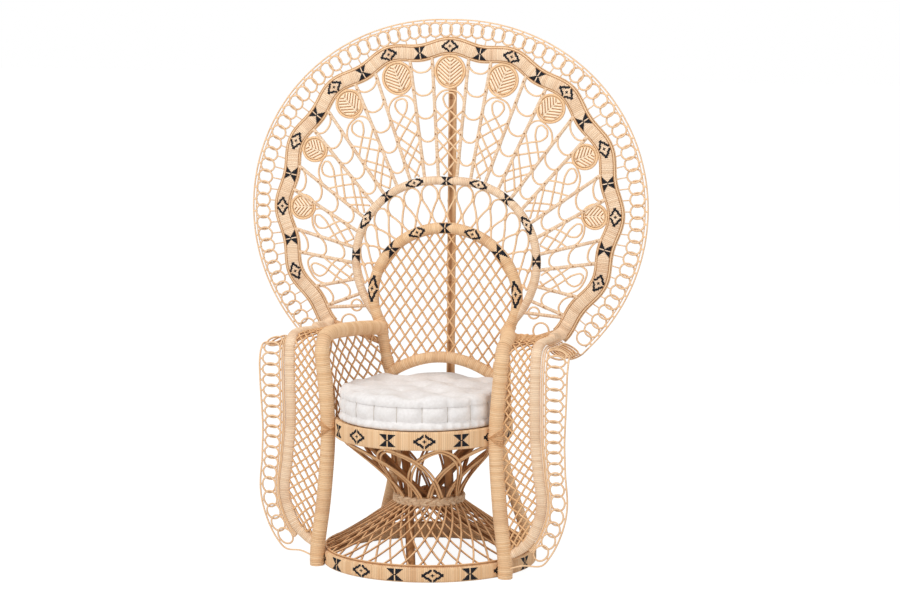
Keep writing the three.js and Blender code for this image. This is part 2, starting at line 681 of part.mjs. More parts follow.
// The lace touches the lobes of the band, which its loops are centred on
function lacePoint(u, v) {
  const angle = lerp(-LACE_END, LACE_END, u);
  const bandRadius = polarRadius(BAND_RADIUS, BAND_WIDENING, BAND_WIDEST, angle);
  const innerRadius = bandRadius + SCALLOP_DEPTH + BAND_WIDTH / 2 + NET_GAP;
  const outerRadius = polarRadius(LACE_RADIUS, LACE_WIDENING, LACE_WIDEST, angle);
  return inPlane(polarPlace(BAND_CENTRE, lerp(innerRadius, outerRadius, v), angle));
}

const laceAtTop = lacePoint(0.5, 0).distanceTo(lacePoint(0.5, 1));
const LACE_PITCH = (degToRad(2 * LACE_END) * LACE_RADIUS) / LACE_LOOPS;
const lace = loopStrip(LACE_LOOPS, LACE_STRAND / LACE_PITCH, LACE_STRAND / laceAtTop, lacePoint);
add(back, 'back_lace', lace, PALE_CANE);

// Ladders: pairs of spokes with sagging rungs, at the valleys of the band
function spokeEnds(index) {
  const ladder = Math.ceil(index / 2);
  const turn = index % 2 === 1 ? -SPOKE_PAIR : SPOKE_PAIR;
  const outerAngle = SCALLOP_PITCH * (ladder - 0.5) + turn;
  return [secondPlace(SPOKE_PITCH * (index - 1 / 3)), bandPlace(outerAngle)];
}

const onSpoke = ([inner, outer], share) => inner.clone().lerp(outer, share);
const spoke = (ends, grow) => ribbon(ends, SPOKE_WIDTH + 2 * grow);

function rung(ladder, share) {
  const first = spokeEnds(2 * ladder - 1);
  const start = onSpoke(first, share);
  const end = onSpoke(spokeEnds(2 * ladder), share);
  const inward = first[0].clone().sub(first[1]).setLength(RUNG_SAG);
  return ribbon([start, start.clone().lerp(end, 0.5).add(inward), end], RUNG_WIDTH);
}

function fanLadder(ladder) {
  const bodies = [2 * ladder - 1, 2 * ladder].map((index) => spoke(spokeEnds(index), 0));
  const count = RUNG_COUNTS[ladder - 1];
  for (let i = 1; i <= count; i += 1) {
    bodies.push(rung(ladder, i / (count + 0.6)));
  }
  if (ladder === RUNG_COUNTS.length) {
    const index = 2 * ladder;
    const shortEnds = [secondPlace(SPOKE_PITCH * (index + 2 / 3)), spokeEnds(index)[1]];
    bodies.push(spoke(shortEnds, 0));
  }
  return geometryOf(cut(join(bodies), [bandSpace, secondSpace]));
}

RUNG_COUNTS.forEach((_, k) => {
  const ladder = fanLadder(k + 1);
  add(back, `fan_ladder_left_${k + 1}`, mirrored(ladder), PALE_CANE);
  add(back, `fan_ladder_right_${k + 1}`, ladder, PALE_CANE);
});

// Sprays: in each bay between ladders a leaf under the band, an arch below it and a crossed loop
function baySpokes(bay) {
  const far = spokeEnds(2 * bay + 1);
  const near = bay === 0 ? far.map((end) => place(-end.x, end.y)) : spokeEnds(2 * bay);
  return [near, far];
}

function bayPlace(bay, across, share) {
  const [near, far] = baySpokes(bay);
  return onSpoke(near, share).lerp(onSpoke(far, share), 0.5 + 0.5 * across);
}

function sprayStrand(bay, places) {
  return ribbon(places.map(([across, share]) => bayPlace(bay, across, share)), SPRAY_WIDTH);
}

function leaf(bay, diameter) {
  const turn = SCALLOP_PITCH * bay;
  const centre = bandPlace(turn, -BAND_WIDTH / 2 - GAP - diameter / 2);
  const outline = [];
  for (let k = 0; k < LEAF_SIDES; k += 1) {
    outline.push(centre.clone().add(polarPlace(0, diameter / 2, turn + (360 * k) / LEAF_SIDES)));
  }
  return flat(outline, LEAF_DEPTH);
}

// Share of the bay's length where the arch peaks, just inside the foot of the leaf
function crownShare(bay, diameter) {
  const foot = bayPlace(bay, 0, 0);
  const along = bayPlace(bay, 0, 1).sub(foot);
  const leafFoot = bandPlace(SCALLOP_PITCH * bay, -BAND_WIDTH / 2 - diameter + SPRAY_WIDTH / 3);
  return leafFoot.sub(foot).dot(along) / along.lengthSq();
}

function spray(bay) {
  const diameter = LEAF_DIAMETERS[bay];
  const crown = diameter ? crownShare(bay, diameter) : BARE_CROWN;
  const archHalf = [[1, crown - 0.3], [0.82, crown - 0.12], [0.45, crown - 0.02]];
  const mirror = archHalf.map(([across, share]) => [-across, share]).reverse();
  const bodies = [sprayStrand(bay, [...archHalf, [0, crown], ...mirror])];
  [-1, 1].forEach((side) => {
    const loopHalf = [[-side, 0.1], [0.3 * side, crown - 0.23], [0.42 * side, crown - 0.1], [0, crown]];
    bodies.push(sprayStrand(bay, loopHalf));
  });
  if (diameter) {
    bodies.push(leaf(bay, diameter));
  }
  const spokes = baySpokes(bay).map((ends) => spoke(ends, GAP));
  return geometryOf(cut(join(bodies), [...spokes, bandSpace, secondSpace]));
}

add(back, 'fan_spray_middle', spray(0), PALE_CANE);
for (let bay = 1; bay <= SPRAY_BAYS; bay += 1) {
  const oneSpray = spray(bay);
  add(back, `fan_spray_left_${bay}`, mirrored(oneSpray), PALE_CANE);
  add(back, `fan_spray_right_${bay}`, oneSpray, PALE_CANE);
}

// Loops between the two arches
const DROP_REACH = [LEG_RADIUS + NET_GAP, SECOND_DIAMETER / 2 + NET_GAP];

function dropPoint(u, v) {
  const near = innerPlace(lerp(-DROP_INNER_SPAN, DROP_INNER_SPAN, u), DROP_REACH[0]);
  const far = secondPlace(lerp(-DROP_SECOND_SPAN, DROP_SECOND_SPAN, u), -DROP_REACH[1]);
  return inPlane(near.lerp(far, v));
}

const DROP_PITCH = (degToRad(2 * DROP_SECOND_SPAN) * SECOND_RADIUS) / DROP_COUNT;
const DROP_LENGTH = dropPoint(0.5, 0).distanceTo(dropPoint(0.5, 1));
const drops = loopStrip(DROP_COUNT, DROP_STRAND / DROP_PITCH, DROP_STRAND / DROP_LENGTH, dropPoint);
add(back, 'teardrop_row', drops, PALE_CANE);

// Lattice inside the inner arch, with a binding cane round it
const PANEL_STEPS = 22;
const CHORD_SLACK = 0.6; // for the straight steps of the arch
const PANEL_INSET = Math.max(INNER_DIAMETER, LOWER_ARCH_DIAMETER) / 2 + NET_GAP + CHORD_SLACK;
const narrowShare = NARROW_INDEX / (innerCurve.points.length - 1);

function innerEdge(share, inset) {
  const [from, middle, to] = [share - 1e-3, share, share + 1e-3].map((t) => {
    const point = back.worldToLocal(innerCurve.getPoint(t));
    return place(point.x, point.y);
  });
  const along = to.sub(from).normalize();
  return middle.add(place(-along.y, along.x).multiplyScalar(inset));
}

function panel(inset) {
  const outline = [];
  for (let k = 0; k <= PANEL_STEPS; k += 1) {
    outline.push(innerEdge(lerp(1 - narrowShare, narrowShare, k / PANEL_STEPS), inset));
  }
  for (let k = 4; k >= -4; k -= 1) {
    const across = ((LEG_NARROW - inset) * k) / 4;
    const slope = (2 * across * (LOWER_ARCH_TOP - LOWER_ARCH_END)) / LEG_NARROW ** 2;
    outline.push(place(across, lowerArchUp(across) + inset * Math.hypot(1, slope)));
  }
  return flat(outline, CANE_DEPTH);
}

function latticeBars() {
  const bars = [];
  const slope = Math.atan2(LATTICE_PITCH_Z, LATTICE_PITCH_X);
  const count = Math.ceil((2 * INNER_RADIUS) / LATTICE_PITCH_X);
  [-1, 1].forEach((lean) => {
    for (let k = -count; k <= count; k += 1) {
      const bar = new THREE.BoxGeometry(4 * INNER_RADIUS, LATTICE_STRAND, CANE_DEPTH);
      bar.rotateZ(lean * slope).translate((k + 0.5) * LATTICE_PITCH_X, INNER_CENTRE, 0);
      bars.push(solid(bar));
    }
  });
  return join(bars);
}

const binding = panel(PANEL_INSET).subtract(panel(PANEL_INSET + LATTICE_STRAND));
const lattice = latticeBars().intersect(panel(PANEL_INSET)).add(binding);
add(back, 'back_lattice', geometryOf(lattice), CANE);

// Wings: front posts that bend back as arm rails, outer frames, nets and lace
const POST_RADIUS = POST_DIAMETER / 2;
const POST_CLEARANCE = POST_RADIUS + 2 * GAP;
const postSeatX = Math.sqrt((SEAT_RADIUS + POST_CLEARANCE) ** 2 - (WING_Y - SEAT_CENTRE_Y) ** 2);
const postFoot = roundPoint(0, BASE_RADIUS + POST_CLEARANCE, POST_FOOT_ANGLE, 0);
const SEAT_MIDDLE = SEAT_TOP - SEAT_BAND / 2;
const BEND_SHARE = 0.3; // how far the bend's middle lies from the corner
const armEnd = pointInChair(innerPlace(INNER_END));
const bandEnd = pointInChair(bandPlace(SCALLOP_END));

const postCurve = through([
  postFoot.clone().setZ(-FOOT_TRIM),
  postFoot.clone().setZ(BASE_HEIGHT),
  vector(lerp(postFoot.x, postSeatX, 0.6), lerp(postFoot.y, WING_Y, 0.6), SEAT_MIDDLE / 2),
  vector(postSeatX, WING_Y, SEAT_MIDDLE),
  vector(lerp(postSeatX, ARM_FRONT_X, 0.6), WING_Y, lerp(SEAT_MIDDLE, ARM_HEIGHT, 0.55)),
  vector(ARM_FRONT_X, WING_Y, ARM_HEIGHT - ARM_BEND),
  vector(ARM_FRONT_X, WING_Y + BEND_SHARE * ARM_BEND, ARM_HEIGHT - BEND_SHARE * ARM_BEND),
  vector(ARM_FRONT_X, WING_Y + ARM_BEND, ARM_HEIGHT),
  vector(lerp(ARM_FRONT_X, armEnd.x, 0.45), lerp(WING_Y, armEnd.y, 0.58), ARM_HEIGHT),
  armEnd,
]);
const postTube = (grow) => tube(postCurve, POST_DIAMETER + 2 * grow, POLE_SIDES, POST_STEPS);
const post = geometryOf(cut(solid(postTube(0)), [...legCutters, innerSpaceInChair]));
const postSpace = solid(postTube(GAP));

const frameStart = vector(postFoot.x, postFoot.y, WING_FOOT_HEIGHT);
const frameCurve = through([
  frameStart,
  vector(lerp(frameStart.x, WING_TOE_X, 0.55), WING_Y, lerp(frameStart.z, WING_TOE_HEIGHT, 0.4)),
  vector(WING_TOE_X, WING_Y, WING_TOE_HEIGHT),
  vector(WING_HIP_X, WING_Y, WING_HIP_HEIGHT),
  vector(lerp(WING_HIP_X, WING_WAIST_X, 0.5), WING_Y, lerp(WING_HIP_HEIGHT, WING_WAIST_HEIGHT, 0.5)),
  vector(WING_WAIST_X, WING_Y, WING_WAIST_HEIGHT),
  vector(WING_TOP_X, WING_Y, ARM_HEIGHT - ARM_BEND),
  vector(WING_TOP_X, WING_Y + BEND_SHARE * ARM_BEND, ARM_HEIGHT - BEND_SHARE * ARM_BEND),
  vector(WING_TOP_X, WING_Y + ARM_BEND, ARM_HEIGHT),
  vector(WING_TOP_X, WING_Y, ARM_HEIGHT).lerp(bandEnd, 0.6),
  bandEnd,
]);
function frameSweep(grow) {
  const section = ovalSection(WING_FRAME_DEPTH + 2 * grow, WING_FRAME_WIDTH + 2 * grow, POLE_SIDES);
  return sweep(frameCurve, section, FRAME_STEPS);
}
const frame = geometryOf(cut(solid(frameSweep(0)), [postSpace, bandSpaceInChair]));

const WING_NET_START = [0.085, 0.115]; // shares of the post's and the frame's length where the net begins
const WING_NET_END = 0.955;
const POST_REACH = POST_RADIUS + NET_GAP;
const FRAME_REACH = WING_FRAME_WIDTH / 2 + NET_GAP;

// A line that leaves a pole at a slant needs a longer reach to clear it
function slantReach(curve, share, direction, reach) {
  return reach / curve.getTangentAt(share).cross(direction).length();
}

function wingPoint(u, v) {
  const innerShare = lerp(WING_NET_START[0], WING_NET_END, v);
  const outerShare = lerp(WING_NET_START[1], WING_NET_END, v);
  const inner = postCurve.getPointAt(innerShare);
  const outer = frameCurve.getPointAt(outerShare);
  const across = outer.clone().sub(inner).normalize();
  inner.addScaledVector(across, slantReach(postCurve, innerShare, across, POST_REACH));
  outer.addScaledVector(across, -slantReach(frameCurve, outerShare, across, FRAME_REACH));
  return inner.lerp(outer, u);
}

const fullWingNet = diamondNet(WING_NET_COLUMNS, WING_NET_ROWS, false, WING_STRAND, wingPoint);
const frameSpace = solid(frameSweep(GAP));
const wingNet = geometryOf(cut(solid(fullWingNet), [postSpace, frameSpace]));

const WING_LACE_START = 0.07;
const WING_LACE_END = 0.94;
const LACE_TAPER = 0.17; // share of the strip in which it widens
const LACE_TOE = 0.2; // share of the full width at its foot
const DROOP_SHARES = [0.56, 0.74]; // shares of the frame's length between which the lace turns down

function wingLacePoint(u, v) {
  const share = lerp(WING_LACE_START, WING_LACE_END, u);
  const along = frameCurve.getTangentAt(share);
  const outward = vector(1, 0, 0).addScaledVector(along, -along.x).normalize();
  outward.applyAxisAngle(along, degToRad(WING_LACE_DROOP * smoothstep(share, ...DROOP_SHARES)));
  const width = WING_LACE_WIDTH * lerp(LACE_TOE, 1, smoothstep(u, 0, LACE_TAPER));
  return frameCurve.getPointAt(share).addScaledVector(outward, FRAME_REACH + v * width);
}

const WING_LACE_PITCH = (frameCurve.getLength() * (WING_LACE_END - WING_LACE_START)) / WING_LACE_LOOPS;
const wingLaceShares = [LACE_STRAND / WING_LACE_PITCH, LACE_STRAND / WING_LACE_WIDTH];
const fullWingLace = loopStrip(WING_LACE_LOOPS, ...wingLaceShares, wingLacePoint);
const wingLace = geometryOf(cut(solid(fullWingLace), [frameSpace]));

const SIDE_NET_RAIL = [0.66, 0.955]; // shares of the post's length above the side net
const SIDE_NET_ANGLES = [-18.5, 47]; // degrees round the seat

function sideNetPoint(u, v) {
  const angle = lerp(SIDE_NET_ANGLES[0], SIDE_NET_ANGLES[1], u);
  const bottom = roundPoint(SEAT_CENTRE_Y, SEAT_RADIUS - SEAT_WALL / 2, angle, SEAT_TOP + NET_GAP);
  const topShare = lerp(SIDE_NET_RAIL[0], SIDE_NET_RAIL[1], u);
  const top = postCurve.getPointAt(topShare);
  const upward = top.clone().sub(bottom).normalize();
  top.addScaledVector(upward, -slantReach(postCurve, topShare, upward, POST_REACH));
  return bottom.lerp(top, v);
}

const fullSideNet = diamondNet(SIDE_NET_COLUMNS, SIDE_NET_ROWS, false, WING_STRAND, sideNetPoint);
const sideNet = geometryOf(cut(solid(fullSideNet), [postSpace, innerSpaceInChair]));

// Back rails: short bars that close the fan's foot, from the inner arch to the band's end
const railUnder = innerPlace(INNER_END).y - BACK_RAIL_HEIGHT;
const railShare = railUnder / (innerPlace(INNER_END).y - LEG_NARROW_HEIGHT);
const railStart = innerPlace(INNER_END).lerp(place(LEG_NARROW, LEG_NARROW_HEIGHT), railShare);
const railEnd = bandPlace(SCALLOP_END, -BAND_WIDTH / 4);
const rail = solid(inChair(rod(inPlane(railStart), inPlane(railEnd), BACK_RAIL_DIAMETER, POLE_SIDES)));
const railCutters = [innerSpaceInChair, bandSpaceInChair, frameSpace, postSpace];
const backRail = geometryOf(cut(rail, railCutters));

[['left', -1], ['right', 1]].forEach(([sideName, side]) => {
  const handed = (geometry) => (side > 0 ? geometry : mirrored(geometry));
  add(chair, `front_post_${sideName}`, handed(post), CANE);
  add(chair, `wing_frame_${sideName}`, handed(frame), PALE_CANE);
  add(chair, `wing_lattice_${sideName}`, handed(wingNet), CANE);
  add(chair, `wing_lace_${sideName}`, handed(wingLace), PALE_CANE);
  add(chair, `arm_side_lattice_${sideName}`, handed(sideNet), CANE);
  add(chair, `arm_back_rail_${sideName}`, handed(backRail), SHADED_CANE);
});

export default chair;
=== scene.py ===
"""A woven peacock chair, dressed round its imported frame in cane, rope and cotton."""

import bpy
import numpy as np
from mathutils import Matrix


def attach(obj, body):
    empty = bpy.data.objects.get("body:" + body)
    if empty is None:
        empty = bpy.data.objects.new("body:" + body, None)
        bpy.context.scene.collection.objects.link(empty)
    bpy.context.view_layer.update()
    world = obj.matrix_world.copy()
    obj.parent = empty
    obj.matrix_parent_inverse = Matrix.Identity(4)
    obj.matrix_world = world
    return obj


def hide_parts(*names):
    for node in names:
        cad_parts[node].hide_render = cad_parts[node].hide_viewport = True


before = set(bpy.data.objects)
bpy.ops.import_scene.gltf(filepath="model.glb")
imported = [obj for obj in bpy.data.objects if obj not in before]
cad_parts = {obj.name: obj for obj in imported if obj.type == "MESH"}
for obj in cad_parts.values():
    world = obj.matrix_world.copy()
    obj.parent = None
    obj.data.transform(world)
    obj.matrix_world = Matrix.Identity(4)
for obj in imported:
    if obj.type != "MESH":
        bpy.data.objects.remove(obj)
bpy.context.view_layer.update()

# Sizes are in millimetres and degrees, and become metres when a mesh is made
MM = 0.001

# Pedestal and seat
BASE_RADIUS = 300
BASE_WALL = 22
BASE_HEIGHT = 42
WAIST_HEIGHT = 180
BRAID_RADIUS = 92.5
BRAID_DIAMETER = 25
BRAID_WAVES = 9
STRAND_RADIUS = 6
HOOP_RADIUS = 75.5
HOOP_WALL = 8
HOOP_HEIGHT = 24
HOOP_CORNER = 3
SEAT_RADIUS = 247
SEAT_WALL = 12
SEAT_TOP = 413
SEAT_BAND = 51
SEAT_Y = -47
DECK_THICKNESS = 14
DECK_PITCH = 12
# Half thickness, half width and corner of a strip of the deck
DECK_STRIP = (1.6, 5.52, 1.2)
DECK_WAVE = 1.7
DECK_DROP = 4.2
DECK_RIM = 4.5
# Angle of a ring's front motif, and the number of its motifs
BASE_MOTIFS = (-90, 18)
SEAT_MOTIFS = (-95.25, 15)
SKIRT_CANES = 36
SKIRT_SPIRAL = 0.55
SKIRT_FLARE = 1.15
SKIRT_CANE = 3.1
SKIRT_RIM = 3.4
SKIRT_APART = 1.6
ROPE_TUCK = 6
THROAT_ARCHES = 10
THROAT_SPAN = 50
THROAT_FLARE = 1.5
THROAT_CANE = 3.6
THROAT_POINT = 1.4
THROAT_APART = 2.6
THROAT_INNER_SPAN = 45
THROAT_INNER_TOP = 0.952
STRUT_DIAMETER = 25
STRUT_OFFSET = 57
STRUT_REACH = 208
STRUT_TURN = 20

# Cushion
CUSHION_RADIUS = 238
CUSHION_HALF_WIDTH = 219
CUSHION_PRESS = 19
CUSHION_Y = -57
CUSHION_SIDE = 74
CUSHION_CROWN = 22
CUSHION_ROLL = 11
CUSHION_SEAM = 64
CUSHION_EASE = 5
CUSHION_SHOULDER = 26
CUSHION_SWELL = 6
SEAM_RISE = 4
CUSHION_REST = 0.4
CUSHION_STITCHES = 20
STITCH_REACH = 8
SIDE_BULGE = 9
SHOULDER_PUFF = 2.5
STITCH_STEPS = 14
# Radius and number of the tufts in each ring
TUFT_RINGS = ((0, 1), (95, 6), (180, 12))
TUFT_DEPTH = 17
TUFT_SPREAD = 28

# Back: a plane that leans back, and the arches of the fan in it
LEAN = 4.5
BACK_FOOT_Y = 85
BAND_CENTRE = 963
BAND_RADIUS = 471
BAND_WIDENING = 14
BAND_WIDEST = 75
BAND_WIDTH = 44
BAND_FLAT = 36
BAND_EDGE = 8
BAND_CROWN = 16
BAND_SPACING = 97
BAND_LAST_MOTIF = 10.49
BAND_COLLAR = (12.5, 18.5)
# Canes along the band's edges: outer or inner edge, distance out from it, lift and radius
BAND_BEADS = ((1, 2.4, 2.0, 2.9), (1, 6.8, 0, 1.9), (-1, 1.9, 2.4, 2.4), (-1, 5.6, 1, 1.9))
# Brown canes that paint the shade lines beside the beads: outer or inner edge, distance out from it, lift
# and radius
BAND_SHADE_LINES = ((1, -0.6, 4.2, 1.1), (1, 5, 2.6, 1.1), (-1, -0.4, 4.2, 1.1), (-1, 4, 3, 1.1))
SCALLOP_PITCH = 22.4
SCALLOP_DEPTH = 8
SCALLOP_END = 6 * SCALLOP_PITCH
LACE_RADIUS = 563.5
LACE_WIDENING = 22
LACE_WIDEST = 80
LACE_END = 131
LACE_RINGS = 76
LACE_RING = 21
LACE_TIE = 10.5
RIM_INSET = 2.4
RIM_CANE = 2.2
RIM_INNER_CANE = 1.6
LACE_STRING = 1.8
TIE_HALF = (2.4, 3.0)
RING_TILT = 2.4
RING_SPREAD = 0.61
SECOND_CENTRE = 810
SECOND_RADIUS = 254
SECOND_WIDENING = 16
SECOND_WIDEST = 70
SECOND_END = 126
SECOND_DIAMETER = 24
# Angles of an arch's motifs, from its middle to one side
SECOND_MOTIFS = (0, 21, 41, 61, 84.5)
SECOND_SPACING = 92
INNER_CENTRE = 727
INNER_RADIUS = 203
INNER_WIDENING = 10
INNER_WIDEST = 92
INNER_END = 117
INNER_DIAMETER = 27
INNER_MOTIFS = (0, 24.6, 50.5, 86)
INNER_SPACING = 90
LEG_GAP = 0.3
LEG_NARROW = 165
LEG_NARROW_HEIGHT = 535
LEG_SEAT_ANGLE = 58
LEG_FOOT_ANGLE = 47
LOWER_TOP = 556
LOWER_END = 500
LOWER_DIAMETER = 27
POLE_DIAMETER = 25
POLE_TOP = 1440
POLE_BEHIND = 20.8
POLE_JOINTS = 6.2
JOINT_SWELL = 0.9

# Infill of the fan
SPOKE_DIAMETER = 10
SPOKE_PAIR = 4.2
SPOKE_PITCH = 9.3
SPOKE_TURN = 4.6
RUNG_COUNTS = (5, 5, 5, 4, 3, 2)
RUNG_SAG = 19.5
# Length, half side and half height of the bindings and the knots of the rungs
RUNG_BINDING = (19, 5.6, 5.6)
RUNG_KNOT = (4.5, 1.9, 2.1)
KNOT_LIFT = 4.6
LEAF_DIAMETERS = (94, 94, 84, 75, 75)
LEAF_POINT = 0.09
LEAF_RIB = 1.7
LEAF_INNER = 10
# Inset and lift of the plate behind each leaf that paints the shade in the gaps between its slats
LEAF_SHADE_PLATE_INSET = 4
LEAF_SHADE_PLATE_LIFT = -2.2
# Rings of a leaf's rim: distance in from its edge, radius and lift
LEAF_RINGS = ((3.8, 3.8, 0.6), (9.8, 2.2, 0))
BARE_CROWN = 0.84
SLAT_RISE = 40
SLAT_PITCH = 10.6
SLAT = 3.1
LEAF_GAP = 0.3
SPRAY_BAYS = 5
SPRAY_DROPS = (55, 104, 136, 186, 217)
SPRAY_FALL = 72
SPRAY_LOWEST = 16
# Left halves of a spray's arch and loop: place across the bay, and distance below its crown
SPRAY_ARCH = ((-1, 56), (-0.95, 34), (-0.62, 9))
SPRAY_LOOP = ((-1, 93), (-0.5, 74), (0, 55), (0.3, 41), (0.42, 24), (0.27, 11))
LOOP_TOP = 8
DROP_COUNT = 15
DROP_INNER_SPAN = 88
DROP_SECOND_SPAN = 101
DROP_TIE = (3.9, 5.4)
# Share from the inner arch out, and length, of the ties at the points and between the loops
DROP_LOW_TIE = (0.23, 11)
DROP_HIGH_TIE = (0.68, 12)
# Left half of a teardrop: place across its share of the row, and share from the inner arch out
DROP_HALF = (
    (-0.30, 0), (-0.11, 0.15), (-0.045, 0.24), (-0.22, 0.44),
    (-0.45, 0.66), (-0.43, 0.84), (-0.22, 0.965),
)
LATTICE_WIDTH = 33
LATTICE_HEIGHT = 46
LATTICE_REACH = 260
# Place across, place up and radius
CORNER_RINGS = ((262, 692, 16), (284, 642.5, 22.5))

# Wings and arms
POST_DIAMETER = 36
POST_FOOT_ANGLE = -31.3
POST_GAP = 0.6
WING_Y = -155
FRAME_WIDTH = 30
FRAME_DEPTH = 20
ARM_HEIGHT = 641
ARM_BEND = 45
ARM_X = 259
WING_TOP_X = 354
WAIST_X = 353
WAIST_Z = 395
HIP_X = 371
HIP_Z = 195
TOE_X = 340
TOE_Z = 110
FRAME_FOOT = 62
WING_LACE_WIDTH = 76
WING_LACE_DROOP = 30
# Shares along the wing frame, and shares across its lace
DROOP_SHARES = (0.6, 0.78)
WING_LACE_RINGS = 26
WING_LACE_RUN = (0.07, 0.94)
WING_LACE_BEADS = (0.03, 0.1, 0.19)
WING_LACE_RING = (0.19, 0.85)
WING_LACE_RIM = 0.965
# Shares of the post and the frame between which the wing's panel is ruled, and its cells
WING_POST_RUN = (0.085, 0.955)
WING_FRAME_RUN = (0.115, 0.955)
WING_CELLS = (3.2, 25.0)
# Angles of the seat ring and shares of the post for the panel under the arm, and its cells
SIDE_SEAT_ANGLES = (-18.5, 53)
SIDE_ARM_RUN = (0.66, 0.955)
SIDE_CELLS = (7.5, 5.2)
RAIL_DIAMETER = 18
RAIL_HEIGHT = 588
WING_RIM_CANE = 2.5
LASHING_SLANTS = (-16, -11, -6, 6, 11, 16)
LASHING_CANE = 1.6
LASHING_OUT = 1.2
# Heights between which extra turns bind a rear leg, and how far they stand out
LEG_BINDINGS = ((LOWER_END - 12, LOWER_END + 46), (ARM_HEIGHT - 30, ARM_HEIGHT + 14))
LEG_BINDING_OUT = 2.2

# Canes
THIN = 2.9
FINE = 2.8
TURN_PITCH = 5.0
BINDING_PITCH = 2.4
STITCH = 3.1
RING_STRETCH = 1.15
WINDING = 2.4
# Rings of one turn of wound cane: places along it, and how far each stands out
RING_PLACES = np.array([0.0, 0.16, 0.5, 0.84])
RING_RELIEF = np.array([-0.9, -0.05, 0.25, -0.05])
NO_MOTIF = 99.0
DULL = 0.2
WEAVE_LIFT = 1.4
EDGE_OVERLAP = 2

X_AXIS = np.array([1.0, 0.0, 0.0])
Z_AXIS = np.array([0.0, 0.0, 1.0])
BACK_NORMAL = np.array([0.0, -np.cos(np.radians(LEAN)), np.sin(np.radians(LEAN))])


def cosd(angle):
    return np.cos(np.radians(angle))


def sind(angle):
    return np.sin(np.radians(angle))


def lerp(start, end, share):
    return start + (end - start) * share


def smooth_step(share, low, high):
    """Zero below low, one above high and a smooth cubic between them."""
    share = np.clip((share - low) / (high - low), 0, 1)
    return share * share * (3 - 2 * share)


def unit(vectors):
    return vectors / np.linalg.norm(vectors, axis=-1, keepdims=True)


def points(x, y, z):
    return np.stack(np.broadcast_arrays(x, y, z), -1).astype(float)


def once_round(count):
    """Even angles once round."""
    return 360 * np.arange(count) / count


# Curves

def through(knots, per_span=24):
    """Centripetal Catmull-Rom: between two knots a cubic in the span's share, whose end slopes
    come from the neighbours, each weighted by the square root of the knots' distance."""
    knots = np.asarray(knots, float)
    padded = np.concatenate([[2 * knots[0] - knots[1]], knots, [2 * knots[-1] - knots[-2]]])
    before, start, end, after = padded[:-3], padded[1:-2], padded[2:-1], padded[3:]
    root = np.sqrt(np.linalg.norm(np.diff(padded, axis=0), axis=1))[:, None]
    first, middle, last = root[:-2], root[1:-1], root[2:]
    rise = (end - start) / middle
    slope_start = middle * ((start - before) / first - (end - before) / (first + middle) + rise)
    slope_end = middle * (rise - (after - start) / (middle + last) + (after - end) / last)
    share = (np.arange(per_span) / per_span)[:, None]
    square = -3 * start + 3 * end - 2 * slope_start - slope_end
    cube = 2 * start - 2 * end + slope_start + slope_end
    spans = start[:, None] + slope_start[:, None] * share
    spans = spans + square[:, None] * share ** 2 + cube[:, None] * share ** 3
    return np.concatenate([spans.reshape(-1, knots.shape[1]), knots[-1:]])


def lengths(path):
    """Length from a path's start to each of its points."""
    steps = np.linalg.norm(np.diff(path, axis=0), axis=1)
    return np.concatenate([[0], np.cumsum(steps)])


def along(path, shares):
    """Points at shares of a path's length."""
    reach = lengths(path)
    shares = np.asarray(shares)
    columns = [np.interp(shares * reach[-1], reach, path[:, k]) for k in range(path.shape[1])]
    return np.stack(columns, -1)


def heading(path, shares):
    """Unit direction of a path at shares of its length."""
    step = 0.002
    shares = np.asarray(shares)
    return unit(along(path, np.minimum(shares + step, 1)) - along(path, np.maximum(shares - step, 0)))


def above_floor(path):
    """The points of a path that don't lie below the floor."""
    return path[path[:, 2] >= 0]


def round_point(centre_y, radius, angle, height):
    """A point at an angle of a level circle whose centre lies on the Y axis."""
    return points(radius * cosd(angle), centre_y + radius * sind(angle), height)


def on_back(place, lift=0.0):
    """A place (across, up) in the leaning plane of the back, lifted towards the front."""
    up = place[..., 1]
    y = BACK_FOOT_Y + up * sind(LEAN) - lift * cosd(LEAN)
    return points(place[..., 0], y, up * cosd(LEAN) + lift * sind(LEAN))


def polar_radius(mean, widening, widest, angle):
    """Radius of an arch: a mean, plus a cosine of twice the angle from its widest place."""
    return mean + widening * cosd(2 * (np.abs(angle) - widest))


def polar_place(centre, radius, angle):
    """A place (across, up) at an angle from straight up, round a centre on the middle line."""
    return np.stack(np.broadcast_arrays(radius * sind(angle), centre + radius * cosd(angle)), -1)


def band_place(angle, offset=0.0):
    """The scalloped band: a polar curve with a cosine of one wave to each scallop on it."""
    radius = polar_radius(BAND_RADIUS, BAND_WIDENING, BAND_WIDEST, angle)
    radius = radius + SCALLOP_DEPTH * cosd(360 * np.asarray(angle) / SCALLOP_PITCH)
    return polar_place(BAND_CENTRE, radius + offset, angle)


def second_place(angle, offset=0.0):
    """The second arch, a polar curve."""
    radius = polar_radius(SECOND_RADIUS, SECOND_WIDENING, SECOND_WIDEST, angle)
    return polar_place(SECOND_CENTRE, radius + offset, angle)


def inner_place(angle, offset=0.0):
    """The inner arch, a polar curve."""
    radius = polar_radius(INNER_RADIUS, INNER_WIDENING, INNER_WIDEST, angle)
    return polar_place(INNER_CENTRE, radius + offset, angle)


def lower_arch_up(across):
    """Height of the lower arch in the back plane, a parabola."""
    return lerp(LOWER_TOP, LOWER_END, (across / LEG_NARROW) ** 2)


